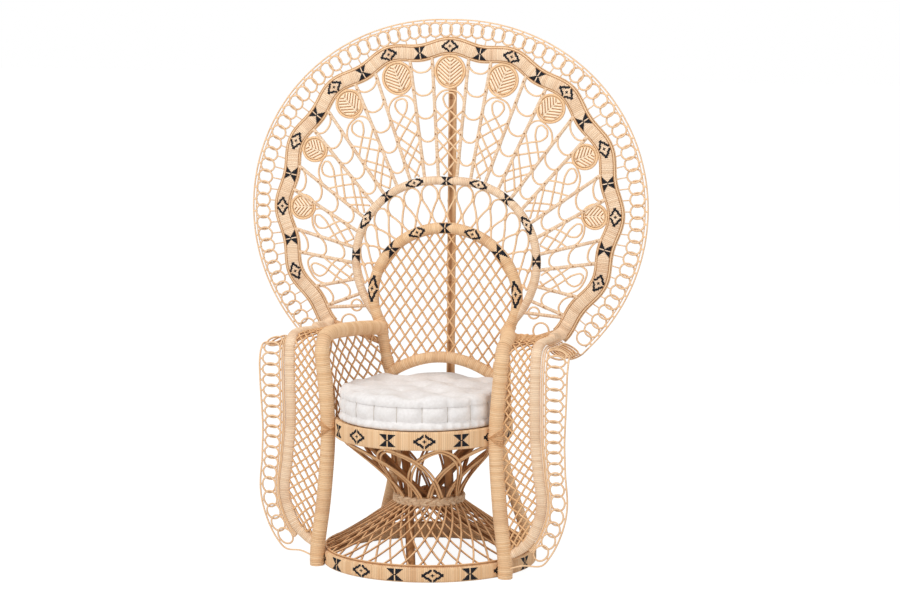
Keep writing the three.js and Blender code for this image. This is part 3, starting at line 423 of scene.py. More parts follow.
def inner_arch_path():
    """One pole: rear foot, past the seat ring, the narrow place, round the arch and down again."""
    reach = INNER_DIAMETER / 2 + LEG_GAP
    foot = round_point(0, BASE_RADIUS + reach, LEG_FOOT_ANGLE, 0)
    below = round_point(SEAT_Y, SEAT_RADIUS + reach + 2, LEG_SEAT_ANGLE, SEAT_TOP - SEAT_BAND)
    beside = round_point(SEAT_Y, SEAT_RADIUS + reach, LEG_SEAT_ANGLE, SEAT_TOP)
    leg = [foot - 15 * Z_AXIS, foot + BASE_HEIGHT * Z_AXIS, lerp(foot, below, 0.5), below, beside]
    narrow = on_back(np.array([LEG_NARROW, LEG_NARROW_HEIGHT]))
    arch = on_back(inner_place(np.linspace(INNER_END, 0, 7)))
    half = np.concatenate([leg, [narrow], arch])
    return through(np.concatenate([half, half[-2::-1] * [-1, 1, 1]]))


def post_path():
    """Front post, which bends back as the arm rail and ends on the inner arch."""
    foot = round_point(0, BASE_RADIUS + POST_DIAMETER / 2 + POST_GAP, POST_FOOT_ANGLE, 0)
    seat_middle = SEAT_TOP - SEAT_BAND / 2
    seat_reach = SEAT_RADIUS + POST_DIAMETER / 2 + POST_GAP
    seat_x = np.sqrt(seat_reach ** 2 - (WING_Y - SEAT_Y) ** 2)
    end = on_back(inner_place(INNER_END))
    return through([
        foot - 15 * Z_AXIS,
        foot + BASE_HEIGHT * Z_AXIS,
        [lerp(foot[0], seat_x, 0.6), lerp(foot[1], WING_Y, 0.6), seat_middle / 2],
        [seat_x, WING_Y, seat_middle],
        [lerp(seat_x, ARM_X, 0.6), WING_Y, lerp(seat_middle, ARM_HEIGHT, 0.55)],
        [ARM_X, WING_Y, ARM_HEIGHT - ARM_BEND],
        [ARM_X, WING_Y + 0.3 * ARM_BEND, ARM_HEIGHT - 0.3 * ARM_BEND],
        [ARM_X, WING_Y + ARM_BEND, ARM_HEIGHT],
        [lerp(ARM_X, end[0], 0.45), lerp(WING_Y, end[1], 0.58), ARM_HEIGHT],
        end,
    ])


def wing_frame_path():
    """Outer frame of a wing: from the post's foot round the toe, up, over the arm and to the fan."""
    foot = round_point(0, BASE_RADIUS + POST_DIAMETER / 2 + POST_GAP, POST_FOOT_ANGLE, FRAME_FOOT)
    end = on_back(band_place(SCALLOP_END))
    top = np.array([WING_TOP_X, WING_Y, ARM_HEIGHT])
    return through([
        foot,
        [lerp(foot[0], TOE_X, 0.55), WING_Y, lerp(foot[2], TOE_Z, 0.4)],
        [TOE_X, WING_Y, TOE_Z],
        [HIP_X, WING_Y, HIP_Z],
        [(HIP_X + WAIST_X) / 2, WING_Y, (HIP_Z + WAIST_Z) / 2],
        [WAIST_X, WING_Y, WAIST_Z],
        [WING_TOP_X, WING_Y, ARM_HEIGHT - ARM_BEND],
        [WING_TOP_X, WING_Y + 0.3 * ARM_BEND, ARM_HEIGHT - 0.3 * ARM_BEND],
        [WING_TOP_X, WING_Y + ARM_BEND, ARM_HEIGHT],
        lerp(top, end, 0.6),
        end,
    ])


INNER_PATH = inner_arch_path()
POST_PATH = post_path()
FRAME_PATH = wing_frame_path()


# Surfaces

class Surface:
    """Points, and faces in groups of one corner count with the UV places of their corners."""

    def __init__(self, places, groups):
        self.places = places
        self.groups = groups

    def mirrored(self):
        groups = [tuple(layer[:, ::-1] for layer in group) for group in self.groups]
        return Surface(self.places * [-1, 1, 1], groups)


def oval(half_side, half_up, sides):
    """Outline of an ellipse, anticlockwise."""
    turn = once_round(sides)
    return np.stack([half_side * cosd(turn), half_up * sind(turn)], -1)


def rod(radius, sides=16):
    """Outline of a circle."""
    return oval(radius, radius, sides)


def rounded_bar(half_side, half_up, corner, steps=4):
    """Outline of a rectangle whose corners are quarter circles, anticlockwise."""
    turn = np.linspace(0, 90, steps)
    quarter = np.stack([cosd(turn), sind(turn)], -1) * corner
    centre = np.array([half_side - corner, half_up - corner])
    turns = [np.array([[cosd(a), sind(a)], [-sind(a), cosd(a)]]) for a in (0, 90, 180, 270)]
    signs = np.array([[1, 1], [-1, 1], [-1, -1], [1, -1]])
    return np.concatenate([quarter @ turn_by + sign * centre for turn_by, sign in zip(turns, signs)])


def lens(half_width, edge, crown):
    """Outline of a flat band, thin at its edges and thicker by a parabola in the middle."""
    across = np.linspace(-half_width, half_width, 9)
    depth = edge + (crown - edge) * (1 - (across / half_width) ** 2)
    front = np.stack([depth, across], -1)
    return np.concatenate([front, -front])


def grown(outline, relief):
    """Outlines moved out along their normals, one for each relief."""
    slope = np.roll(outline, -1, 0) - np.roll(outline, 1, 0)
    normal = unit(np.stack([slope[:, 1], -slope[:, 0]], -1))
    return outline + normal * np.asarray(relief)[:, None, None]


def swept(paths, outline, reference, closed=False, turns=None, motif=None):
    """Carries an outline along paths: a point is the path's, plus the outline's first number
    times the part of the reference that is square to the path, plus its second number times
    the direction square to both. Open ends get a flat face."""
    paths = np.asarray(paths, float)
    if paths.ndim == 2:
        paths = paths[None]
    count, rings = paths.shape[:2]
    slope = np.roll(paths, -1, 1) - np.roll(paths, 1, 1) if closed else np.gradient(paths, axis=1)
    tangent = unit(slope)
    reference = np.broadcast_to(reference, paths.shape)
    side = unit(reference - (reference * tangent).sum(-1, keepdims=True) * tangent)
    up = np.cross(tangent, side)
    outline = np.broadcast_to(outline, (count, rings) + outline.shape[-2:])
    sides = outline.shape[2]
    places = paths[:, :, None] + outline[..., :1] * side[:, :, None] + outline[..., 1:] * up[:, :, None]
    index = np.arange(count * rings * sides).reshape(count, rings, sides)
    rows = np.arange(rings if closed else rings - 1)
    here = index[:, rows]
    ahead = index[:, (rows + 1) % rings]
    corners = np.stack([here, np.roll(here, -1, 2), np.roll(ahead, -1, 2), ahead], -1)
    if turns is None:
        turns = cane_lengths(paths, closed)
    cane = corner_grid(turns, np.arange(sides + 1) / sides, count)
    stitches = np.full(cane.shape, NO_MOTIF) if motif is None else corner_grid(*motif, count)
    groups = [(corners.reshape(-1, 4), cane, stitches)]
    if not closed:
        caps = np.concatenate([index[:, 0, ::-1], index[:, -1]])
        blank = np.zeros(caps.shape + (2,))
        groups.append((caps, blank + 0.5, blank + NO_MOTIF))
    return Surface(places.reshape(-1, 3), groups)


def cane_lengths(paths, closed):
    """Length along each path, with a start of its own for each cane."""
    ring = np.concatenate([paths, paths[:, :1]], 1) if closed else paths
    steps = np.linalg.norm(np.diff(ring, axis=1), axis=2)
    reach = np.concatenate([np.zeros((len(paths), 1)), np.cumsum(steps, 1)], 1)
    return reach + 137.0 * np.arange(len(paths))[:, None]


def corner_grid(rows, columns, count):
    """UV places of the corners of a grid's faces, from its row and column numbers."""
    rows = np.broadcast_to(rows, (count, np.shape(rows)[-1]))[:, :, None]
    columns = np.broadcast_to(columns, (1, 1, len(columns)))
    grid = np.stack(np.broadcast_arrays(rows, columns), -1)
    faces = [grid[:, :-1, :-1], grid[:, :-1, 1:], grid[:, 1:, 1:], grid[:, 1:, :-1]]
    return np.stack(faces, 3).reshape(-1, 4, 2)


def wrapped(path, outline, reference, pitch=TURN_PITCH, closed=False, motif_at=None, across=None):
    """A pole wound with split cane: an outline carried along a path in turns of one pitch, each
    with a groove at its start and a slight swell in its middle. motif_at gives the number of
    motifs passed at a share of the path, and across each outline point's distance from the middle."""
    total = lengths(path)[-1]
    count = int(round(total / pitch))
    places = (np.arange(count)[:, None] + RING_PLACES).ravel()
    relief = np.tile(RING_RELIEF, count)
    rows = np.append(places, count)
    if not closed:
        places = rows
        relief = np.append(relief, RING_RELIEF[0])
    rings = along(path, places / count)
    motif = None
    if motif_at is not None:
        motif = (motif_at(rows / count), np.append(across, across[0]))
    return swept(rings, grown(outline, relief), reference, closed, rows, motif)


def canes(paths, radius, reference, sides=6, closed=False):
    """Bare canes: a circle carried along each path."""
    return swept(paths, rod(radius, sides), reference, closed)


def back_canes(places, radius, lift=0.0, sides=6, closed=False):
    """Bare canes in the plane of the back, lifted towards the front."""
    return canes(on_back(places, lift), radius, BACK_NORMAL, sides, closed)


def barrels(centres, directions, length, half_side, half_up, reference, sides=6):
    """Small bindings: an oval that is drawn in at both ends of a short straight path."""
    shares = np.array([-0.5, -0.3, 0.3, 0.5])
    paths = centres[:, None] + directions[:, None] * (length * shares)[:, None]
    outline = oval(half_side, half_up, sides) * np.array([0.7, 1, 1, 0.7])[:, None, None]
    return swept(paths, outline, reference, turns=(shares + 0.5) * length / BINDING_PITCH)


def hoops(centres, across, along_way, normal, half_across, half_along):
    """Rings: across times a cosine plus along times a sine, tilted so that each passes over the next."""
    turn = once_round(20)
    wide = np.asarray(half_across)[..., None] * cosd(turn)
    long = np.asarray(half_along)[..., None] * sind(turn)
    paths = centres[:, None] + across[:, None] * wide[..., None] + along_way[:, None] * long[..., None]
    paths = paths + normal[:, None] * (RING_TILT * sind(turn))[:, None]
    return canes(paths, FINE, normal[:, None], sides=5, closed=True)


def crossing(columns, rows):
    """Two families of slanted lines over a grid of diamonds, as shares (across, up) of a panel.
    In each family across plus or minus up is a whole number, and lines end at the panel's edges."""
    families = []
    for lean in (1, -1):
        first = np.arange(np.ceil(-rows), columns + 1) if lean > 0 else np.arange(0, columns + rows)
        first = first + 0.25
        low, high = (-first, columns - first) if lean > 0 else (first - columns, first)
        start = np.clip(low, 0, rows)
        end = np.clip(high, 0, rows)
        kept = end - start > 0.2
        up = lerp(start[kept, None], end[kept, None], np.linspace(0, 1, 24))
        across = first[kept, None] + lean * up
        families.append((across / columns, up / rows, lean * np.cos(2 * np.pi * up)))
    return families


def woven(panel, columns, rows):
    """Canes that cross on a panel, a function of shares across and up, over and under in turn."""
    nudge = 0.004
    surfaces = []
    for across, up, over in crossing(columns, rows):
        side = panel(across + nudge, up) - panel(across - nudge, up)
        rise = panel(across, up + nudge) - panel(across, up - nudge)
        normal = unit(np.cross(side, rise))
        surfaces.append(canes(panel(across, up) + normal * (WEAVE_LIFT * over)[..., None], THIN, normal))
    return surfaces


# Finishes

def srgb(red, green, blue):
    """A colour given as it looks on screen, from 0 to 255, as the linear colour of a shader."""
    screen = np.array([red, green, blue]) / 255
    return tuple(float(c) for c in ((screen + 0.055) / 1.055) ** 2.4) + (1.0,)


class Value:
    """A shader socket whose sums and products add Math nodes."""

    def __init__(self, finish, socket):
        self.finish = finish
        self.socket = socket

    def math(self, operation, *terms):
        return self.finish.node("ShaderNodeMath", {"operation": operation}, dict(enumerate(terms)))

    def __add__(self, other):
        return self.math("ADD", self, other)

    def __sub__(self, other):
        return self.math("SUBTRACT", self, other)

    def __rsub__(self, other):
        return self.math("SUBTRACT", other, self)

    def __mul__(self, other):
        return self.math("MULTIPLY", self, other)

    def __lt__(self, other):
        return self.math("LESS_THAN", self, other)

    def __gt__(self, other):
        return self.math("GREATER_THAN", self, other)

    def __abs__(self):
        return self.math("ABSOLUTE", self)

    __radd__ = __add__
    __rmul__ = __mul__

    def floor(self):
        return self.math("FLOOR", self)

    def fraction(self):
        return self.math("FRACT", self)

    def nearest(self):
        return self.math("ROUND", self)

    def either(self, other):
        return self.math("MAXIMUM", self, other)


class Finish:
    """The nodes of a material or a world."""

    def __init__(self, owner):
        self.owner = owner
        owner.use_nodes = True
        self.tree = owner.node_tree
        self.tree.nodes.clear()

    def node(self, kind, settings=None, inputs=None, output=0):
        """Adds a node, sets its settings, then its sockets to values or links."""
        node = self.tree.nodes.new(kind)
        for key, setting in (settings or {}).items():
            setattr(node, key, setting)
        for key, given in (inputs or {}).items():
            if isinstance(given, Value):
                self.tree.links.new(given.socket, node.inputs[key])
            else:
                node.inputs[key].default_value = given
        return Value(self, node.outputs[output])

    def split(self, vector):
        first = self.node("ShaderNodeSeparateXYZ", None, {0: vector})
        return [Value(self, socket) for socket in first.socket.node.outputs]

    def uv(self, layer):
        return self.split(self.node("ShaderNodeUVMap", {"uv_map": layer}))[:2]

    def place(self):
        return self.node("ShaderNodeTexCoord", None, None, "Object")

    def vector(self, x, y=0.0):
        return self.node("ShaderNodeCombineXYZ", None, {0: x, 1: y})

    def noise(self, vector, scale, detail):
        return self.node("ShaderNodeTexNoise", None, {"Vector": vector, "Scale": scale, "Detail": detail})

    def chance(self, number):
        return self.node("ShaderNodeTexWhiteNoise", {"noise_dimensions": "1D"}, {"W": number})

    def step(self, number, low, high):
        settings = {"interpolation_type": "SMOOTHSTEP"}
        return self.node("ShaderNodeMapRange", settings, {0: number, 1: low, 2: high})

    def mix(self, share, first, second):
        settings = {"data_type": "RGBA", "clamp_factor": True}
        return self.node("ShaderNodeMix", settings, {0: share, 6: first, 7: second}, 2)

    def bump(self, height, strength, distance):
        inputs = {"Height": height, "Strength": strength, "Distance": distance}
        return self.node("ShaderNodeBump", None, inputs)

    def show(self, shader, kind="ShaderNodeOutputMaterial"):
        """Links a shader to the output, and gives back the material or world."""
        output = self.tree.nodes.new(kind)
        self.tree.links.new(shader.socket, output.inputs["Surface"])
        return self.owner

    def surface(self, inputs):
        """Ends a finish with a dull Principled shader."""
        inputs = {"Specular IOR Level": DULL, **inputs}
        return self.show(self.node("ShaderNodeBsdfPrincipled", None, inputs))


def new_finish(name):
    return Finish(bpy.data.materials.new(name))


BLACK_CANE = srgb(17, 19, 27)
# Painted shade: the brown of the grooves between the turns of wound cane
GROOVE_SHADE = srgb(112, 66, 34)
STRETCH_BROWN = srgb(198, 152, 116)


def diamond_mask(along_way, across):
    """Hollow stepped diamond, open at its two blunt corners, with a dot in its middle."""
    reach = along_way + 1.4 * across
    outline = (reach > 5.4) * (reach < 9.5) * (along_way > 0.5) * (along_way < 8.5)
    dot = along_way + across < 1.5
    return outline.either(dot)


def cross_mask(along_way, across):
    """Two stepped triangles that meet in the middle, each with a light line up its centre."""
    slope = along_way - 1.25 * across
    triangles = (slope < 1.0) * (along_way > 0.5) * (along_way < 6.5) * (across < 5.5)
    middle = (along_way < 1.5) * (across < 0.5)
    return triangles.either(middle)


def motif_mask(finish, spacing):
    """Stitches of a row of motifs, diamonds at even places and crosses at odd ones."""
    row, across = finish.uv("motif")
    number = row.nearest()
    along_way = (abs(row - number) * (spacing / STITCH)).nearest()
    across = (abs(across) * (1 / STITCH)).nearest()
    odd = (abs(number) * 0.5).fraction() > 0.25
    crosses = cross_mask(along_way, across) * odd
    return crosses.either(diamond_mask(along_way, across) * (1 - odd))


def wound_cane(name, light, deep, spacing=None):
    """Split cane wound round a pole: fibres run round it, each turn has its own tone, longer
    stretches are browner, and the gap between two turns is painted dark as the shade in its
    groove, darker still at some turns picked at random."""
    finish = new_finish(name)
    turn, around = finish.uv("cane")
    edge = abs(turn.fraction() - 0.5) * 2
    gap = finish.step(edge, 0.7, 1.0)
    tone = finish.chance(turn.floor())
    stretch = finish.step(finish.noise(finish.vector(turn * 0.045), 1.0, 3.0), 0.5, 0.72)
    fibre = finish.noise(finish.vector(turn * 7, around * 5), 1.0, 3.0)
    colour = finish.mix(tone * 0.6 + fibre * 0.4, light, deep)
    colour = finish.mix(stretch * 0.4, colour, STRETCH_BROWN)
    darker_groove = finish.step(finish.chance(turn.floor() + 0.37), 0.86, 0.97)
    # Painted shade in the grooves between turns, darker at turns picked at random
    colour = finish.mix(gap * (0.34 + 0.5 * darker_groove), colour, GROOVE_SHADE)
    if spacing:
        colour = finish.mix(motif_mask(finish, spacing), colour, BLACK_CANE)
    inputs = {"Base Color": colour, "Roughness": 0.55 + fibre * 0.2}
    inputs["Normal"] = finish.bump(fibre, 0.25, 0.0006)
    return finish.surface(inputs)


def bare_cane(name, light, deep, knot):
    """Round cane: long fibres, blotches along its length, darker growth rings, and flanks
    painted browner as the shade along its sides.
    """
    finish = new_finish(name)
    length, around = finish.uv("cane")
    fibre = finish.noise(finish.vector(length * 0.03, around * 9), 1.0, 3.0)
    blotch = finish.step(finish.noise(finish.vector(length * 0.018), 1.0, 2.0), 0.35, 0.7)
    colour = finish.mix(fibre * 0.5 + blotch * 0.45, light, deep)
    # Painted shade: both flanks of each cane are darkened, as the shade along its sides
    side_shade = finish.step(abs((around * 2).fraction() - 0.5), 0.26, 0.04)
    ring = finish.step(abs((length * (1 / 173)).fraction() - 0.5), 0.484, 0.497)
    # The knot colour paints both the growth rings and the painted shade on the flanks
    colour = finish.mix(side_shade * 0.75 + ring * 0.2, colour, knot)
    inputs = {"Base Color": colour, "Roughness": 0.5 + fibre * 0.25}
    inputs["Normal"] = finish.bump(fibre, 0.3, 0.0005)
    return finish.surface(inputs)


def braided_rope(name):
    """Dry plant fibre: strands of straw colour that run along each rope, with dark gaps."""
    finish = new_finish(name)
    length, around = finish.uv("cane")
    fibre = finish.noise(finish.vector(length * 0.05 + around * 3, around * 26), 1.0, 4.0)
    colour = finish.mix(finish.step(fibre, 0.3, 0.7), srgb(192, 152, 114), srgb(248, 222, 190))
    inputs = {"Base Color": colour, "Roughness": 0.85}
    inputs["Normal"] = finish.bump(fibre, 0.9, 0.002)
    return finish.surface(inputs)


def plain_cotton(name):
    """Undyed cotton in plain weave: threads that cross, with soft slubs and faint creases."""
    finish = new_finish(name)
    place = finish.place()
    x, y, z = finish.split(place)
    weft = (x * 2100 + z * 900).math("SINE")
    warp = (y * 2100 + z * 900).math("SINE")
    slub = finish.noise(place, 130.0, 3.0)
    crease = finish.noise(place, 17.0, 4.0)
    # Darker where the slub and crease noise run high
    slub_and_crease_tone = finish.step(slub + crease * 0.6, 0.5, 1.1)
    colour = finish.mix(slub_and_crease_tone, srgb(236, 233, 232), srgb(226, 222, 220))
    height = (weft * warp) * 0.05 + slub * 0.2 + crease * 1.3
    inputs = {"Base Color": colour, "Roughness": 0.9, "Sheen Weight": 0.1}
    inputs["Normal"] = finish.bump(height, 0.5, 0.003)
    return finish.surface(inputs)


PALE_LIGHT = srgb(247, 222, 193)
PALE_DEEP = srgb(224, 188, 152)
CANE_LIGHT = srgb(244, 211, 171)
CANE_DEEP = srgb(220, 175, 129)

PALE_WOUND = wound_cane("pale_wound_cane", PALE_LIGHT, PALE_DEEP)
CANE_WOUND = wound_cane("wound_cane", CANE_LIGHT, CANE_DEEP)
# Painted shade: a darker copy of the wound cane, for the waist hoop and the back rails, which stand in
# shade
SHADED_WOUND = wound_cane("shaded_wound_cane", srgb(228, 188, 146), srgb(196, 144, 98))
# The third colour of each bare cane paints its growth rings and the painted shade on its flanks
PALE_BARE = bare_cane("pale_bare_cane", srgb(244, 212, 174), srgb(226, 182, 136), srgb(168, 106, 58))
CANE_BARE = bare_cane("bare_cane", srgb(238, 198, 152), srgb(214, 162, 110), srgb(150, 90, 46))
SHADED_BARE = bare_cane("shaded_bare_cane", srgb(242, 200, 154), srgb(212, 160, 110), srgb(140, 84, 44))
# A brown cane that is also painted shade: it darkens the struts inside the pedestal and draws the shade
# lines beside the band's beads
BROWN_AND_SHADE_BARE = bare_cane("brown_and_shade_cane", srgb(190, 139, 92), srgb(146, 98, 58), srgb(96, 58, 30))
POLE_BARE = bare_cane("pole_cane", srgb(252, 212, 166), srgb(226, 174, 122), srgb(140, 88, 50))
LEAF_RIM = bare_cane("leaf_rim_cane", srgb(244, 208, 166), srgb(226, 180, 132), srgb(160, 104, 60))
LEAF_BARE = bare_cane("leaf_cane", srgb(255, 236, 210), srgb(246, 216, 180), srgb(198, 142, 92))
ROPE = braided_rope("braided_rope")
COTTON = plain_cotton("plain_cotton")


# Pieces

def mesh_of(name, surfaces):
    """Joins surfaces into one mesh, with the UV layers cane and motif."""
    offsets = np.cumsum([0] + [len(s.places) for s in surfaces])
    groups = [(group, offset) for s, offset in zip(surfaces, offsets) for group in s.groups]
    corners = np.concatenate([(group[0] + offset).ravel() for group, offset in groups])
    sizes = np.concatenate([np.full(len(group[0]), group[0].shape[1]) for group, _ in groups])
    places = np.concatenate([s.places for s in surfaces]) * MM
    mesh = bpy.data.meshes.new(name)
    mesh.vertices.add(len(places))
    mesh.vertices.foreach_set("co", places.ravel())
    mesh.loops.add(len(corners))
    mesh.loops.foreach_set("vertex_index", corners)
    mesh.polygons.add(len(sizes))
    mesh.polygons.foreach_set("loop_start", np.concatenate([[0], np.cumsum(sizes)[:-1]]))
    for layer, name_of_layer in enumerate(("cane", "motif"), 1):
        places_on = np.concatenate([group[layer].reshape(-1, 2) for group, _ in groups])
        uv_layer = mesh.uv_layers.new(name=name_of_layer)
        uv_layer.data.foreach_set("uv", places_on.ravel())
    mesh.update(calc_edges=True)
    mesh.shade_smooth()
    return mesh


def piece(name, surfaces, finish, slot, *nodes, body="chair"):
    """One object of the chair, in its finish, riding on a body in place of the nodes it stands for."""
    thing = bpy.data.objects.new(name, mesh_of(name, surfaces))
    bpy.context.scene.collection.objects.link(thing)
    thing.data.materials.append(finish)
    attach(thing, body)
    if nodes:
        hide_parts(*nodes)
    return thing


def pair(name, surfaces, finish, slot, *nodes, number=""):
    """A piece on the right, and its mirror image on the left."""
    mirrored = [surface.mirrored() for surface in surfaces]
    for side, shown in (("right", surfaces), ("left", mirrored)):
        end = f"_{side}{number}"
        piece(name + end, shown, finish, slot, *[node + end for node in nodes])


def circle(centre_y, radius, height, start=90.0):
    """A level circle that begins at an angle, at the back, and goes once round."""
    steps = 720
    return round_point(centre_y, radius, start + 360 * np.arange(steps + 1) / steps, height)


def wound_ring(node, centre_y, radius, wall, height, middle, front, count):
    """A wrapped ring with a row of motifs on its outer face, one of them at the front angle."""
    outline = rounded_bar(height / 2, wall / 2, 0.4 * wall)
    across = np.where(outline[:, 1] > 0.3 * wall, outline[:, 0], NO_MOTIF)
    path = circle(centre_y, radius - wall / 2, middle, start=front + 180)
    spacing = 2 * np.pi * radius / count / RING_STRETCH
    finish = wound_cane(f"wound_{node}_cane", CANE_LIGHT, CANE_DEEP, spacing)

    def motif_at(share):
        return (share - 0.5) * count + 1

    surface = wrapped(path, outline, Z_AXIS, closed=True, motif_at=motif_at, across=across)
    piece(f"wound_{node}", [surface], finish, "pale_cane", node)


def rings():
    """The base ring and the seat ring."""
    middle = BASE_HEIGHT / 2
    wound_ring("base_ring", 0, BASE_RADIUS, BASE_WALL, BASE_HEIGHT, middle, *BASE_MOTIFS)
    middle = SEAT_TOP - SEAT_BAND / 2
    wound_ring("seat_ring", SEAT_Y, SEAT_RADIUS, SEAT_WALL, SEAT_BAND, middle, *SEAT_MOTIFS)


def waist():
    """A hoop inside, and three ropes braided round it: up and down by a sine, and in and out by
    the sine of twice the turn, a third of a wave apart."""
    bar = rounded_bar(HOOP_HEIGHT / 2, HOOP_WALL / 2, HOOP_CORNER)
    hoop = wrapped(circle(0, HOOP_RADIUS, WAIST_HEIGHT), bar, Z_AXIS, closed=True)
    # The hoop is in the darker wound cane, painted shade
    piece("wound_waist_hoop", [hoop], SHADED_WOUND, "shaded_cane", "waist_hoop")
    angle = once_round(480)
    wave = BRAID_WAVES * angle + once_round(3)[:, None]
    rise = (BRAID_DIAMETER / 2 - STRAND_RADIUS) * sind(wave)
    out = 0.7 * STRAND_RADIUS * sind(2 * wave)
    ropes = round_point(0, BRAID_RADIUS + out, angle, WAIST_HEIGHT + rise)
    outline = oval(1.1 * STRAND_RADIUS, 0.85 * STRAND_RADIUS, 12)
    piece("rope_braid", [swept(ropes, outline, Z_AXIS, closed=True)], ROPE, "rope", "waist_braid")


def skirt():
    """Canes from the waist to the base ring in two families of spirals: the turn grows with the
    logarithm of the radius, one way and the other."""
    outer = BASE_RADIUS - BASE_WALL / 2
    top = WAIST_HEIGHT - BRAID_DIAMETER / 2 + ROPE_TUCK
    share = np.linspace(0, 1, 30)
    radius = lerp(outer, BRAID_RADIUS - ROPE_TUCK, share)
    height = lerp(BASE_HEIGHT + 1, top, share ** SKIRT_FLARE)
    spiral = np.degrees(SKIRT_SPIRAL * np.log(outer / radius))
    surfaces = []
    for way in (1, -1):
        starts = 360 * (np.arange(SKIRT_CANES) + 0.25 * way) / SKIRT_CANES
        apart = SKIRT_APART * way
        paths = round_point(0, radius + apart, starts[:, None] + way * spiral, height + apart)
        surfaces.append(canes(paths, SKIRT_CANE, Z_AXIS))
    rim = circle(0, outer, BASE_HEIGHT + 3)[:-1]
    surfaces.append(canes(rim, SKIRT_RIM, Z_AXIS, closed=True))
    piece("skirt_canes", surfaces, SHADED_BARE, "cane", "skirt_lattice")


def throat_place(angle, share):
    """A place on the throat: even in height from the waist to the seat, wider by a power of the share."""
    radius = lerp(BRAID_RADIUS - 4, SEAT_RADIUS - SEAT_WALL / 2, share ** THROAT_FLARE)
    height = lerp(WAIST_HEIGHT + BRAID_DIAMETER / 2 - ROPE_TUCK, SEAT_TOP - SEAT_BAND, share)
    return round_point(SEAT_Y * share, radius, angle, height)


def throat():
    """Doubled canes in pointed arches: across the arch the angle runs evenly, and the height falls
    from the top by a power of the distance from the middle."""
    across = np.linspace(-1, 1, 49)
    lift = THROAT_APART * np.tanh(3 * across)
    surfaces = []
    for number in range(THROAT_ARCHES):
        middle = 360 * (number + 0.3) / THROAT_ARCHES
        for span, top in ((THROAT_SPAN, 1), (THROAT_INNER_SPAN, THROAT_INNER_TOP)):
            share = np.maximum(top * (1 - np.abs(across) ** THROAT_POINT), 0)
            path = throat_place(middle + span * across, share)
            outward = unit(path * [1, 1, 0])
            surfaces.append(canes(path + outward * lift[:, None], THROAT_CANE, outward))
    piece("throat_canes", surfaces, CANE_BARE, "cane", "throat_arches")


def struts():
    """Four poles that cross inside the waist, from under the deck to the inside of the base ring."""
    foot_reach = np.sqrt((BASE_RADIUS - BASE_WALL) ** 2 - STRUT_OFFSET ** 2)
    foot_height = BASE_HEIGHT / 2
    under_deck = SEAT_TOP - DECK_THICKNESS
    places = [
        (-STRUT_REACH * 0.94, under_deck),
        (-STRUT_REACH / 2, lerp(WAIST_HEIGHT, SEAT_TOP, 0.47)),
        (0, WAIST_HEIGHT),
        (foot_reach / 2, lerp(foot_height, WAIST_HEIGHT, 0.46)),
        (foot_reach, foot_height),
    ]
    paths = []
    for number in range(4):
        turn = STRUT_TURN + 90 * number
        outward = points(cosd(turn), sind(turn), 0)
        onward = points(-sind(turn), cosd(turn), 0)
        knots = []
        for reach, height in places:
            to_seat = max(0, (height - WAIST_HEIGHT) / (SEAT_TOP - WAIST_HEIGHT))
            knots.append(outward * STRUT_OFFSET + onward * reach + points(0, SEAT_Y * to_seat, height))
        paths.append(through(knots, 16))
    nodes = [f"pedestal_strut_{number + 1}" for number in range(4)]
    surface = swept(np.stack(paths), rod(STRUT_DIAMETER / 2), Z_AXIS)
    # The struts are painted dark brown, partly as the shade inside the pedestal
    piece("shaded_brown_struts", [surface], BROWN_AND_SHADE_BARE, "shaded_cane", *nodes)


def deck():
    """The seat panel: flat strips in plain weave on a disc, over and under by a cosine."""
    radius = SEAT_RADIUS - SEAT_WALL - 1
    count = int(radius // DECK_PITCH)
    place = DECK_PITCH * np.arange(-count, count + 1)
    way = np.sqrt(radius ** 2 - place ** 2)[:, None] * np.linspace(-1, 1, 80)
    cross = np.broadcast_to(place[:, None], way.shape)
    wave = DECK_WAVE * np.cos(np.pi * cross / DECK_PITCH) * np.cos(np.pi * way / DECK_PITCH)
    level = SEAT_TOP - DECK_DROP
    strip = rounded_bar(*DECK_STRIP, 2)
    surfaces = [
        swept(points(way, SEAT_Y + cross, level + wave), strip, Z_AXIS),
        swept(points(cross, SEAT_Y + way, level - wave), strip, Z_AXIS),
    ]
    rim = circle(SEAT_Y, radius - 3, SEAT_TOP - 9)[:-1]
    surfaces.append(canes(rim, DECK_RIM, Z_AXIS, sides=8, closed=True))
    piece("woven_seat_deck", surfaces, CANE_BARE, "cane", "seat_deck")


def arch_motif(angles):
    """Numbers of the motifs passed at an angle of an arch, from the angles of those on one side."""
    angles = np.asarray(angles, float)
    spread = np.concatenate([-angles[:0:-1], angles])
    numbers = np.arange(len(spread)) - len(angles) + 2.0
    past = 0.49 * (angles[-1] - angles[-2])
    spread = np.concatenate([[spread[0] - past], spread, [spread[-1] + past]])
    numbers = np.concatenate([[numbers[0] - 0.49], numbers, [numbers[-1] + 0.49]])

    def number_at(angle):
        return np.interp(angle, spread, numbers)

    return number_at


def front_stitches(outline, half):
    """Distance round an outline from the middle line of its front, none on its back."""
    turn = np.degrees(np.arctan2(outline[:, 1], outline[:, 0]))
    return np.where(np.abs(turn) < 100, np.radians(turn) * half, NO_MOTIF)


def motif_pole(node, path, radius, motif_at, light, deep, spacing, slot):
    """A pole of the back, wound from end to end, with a row of motifs on its front."""
    pole = rod(radius)
    across = front_stitches(pole, radius)
    surface = wrapped(path, pole, BACK_NORMAL, motif_at=motif_at, across=across)
    piece(f"wound_{node}", [surface], wound_cane(f"{node}_cane", light, deep, spacing), slot, node)


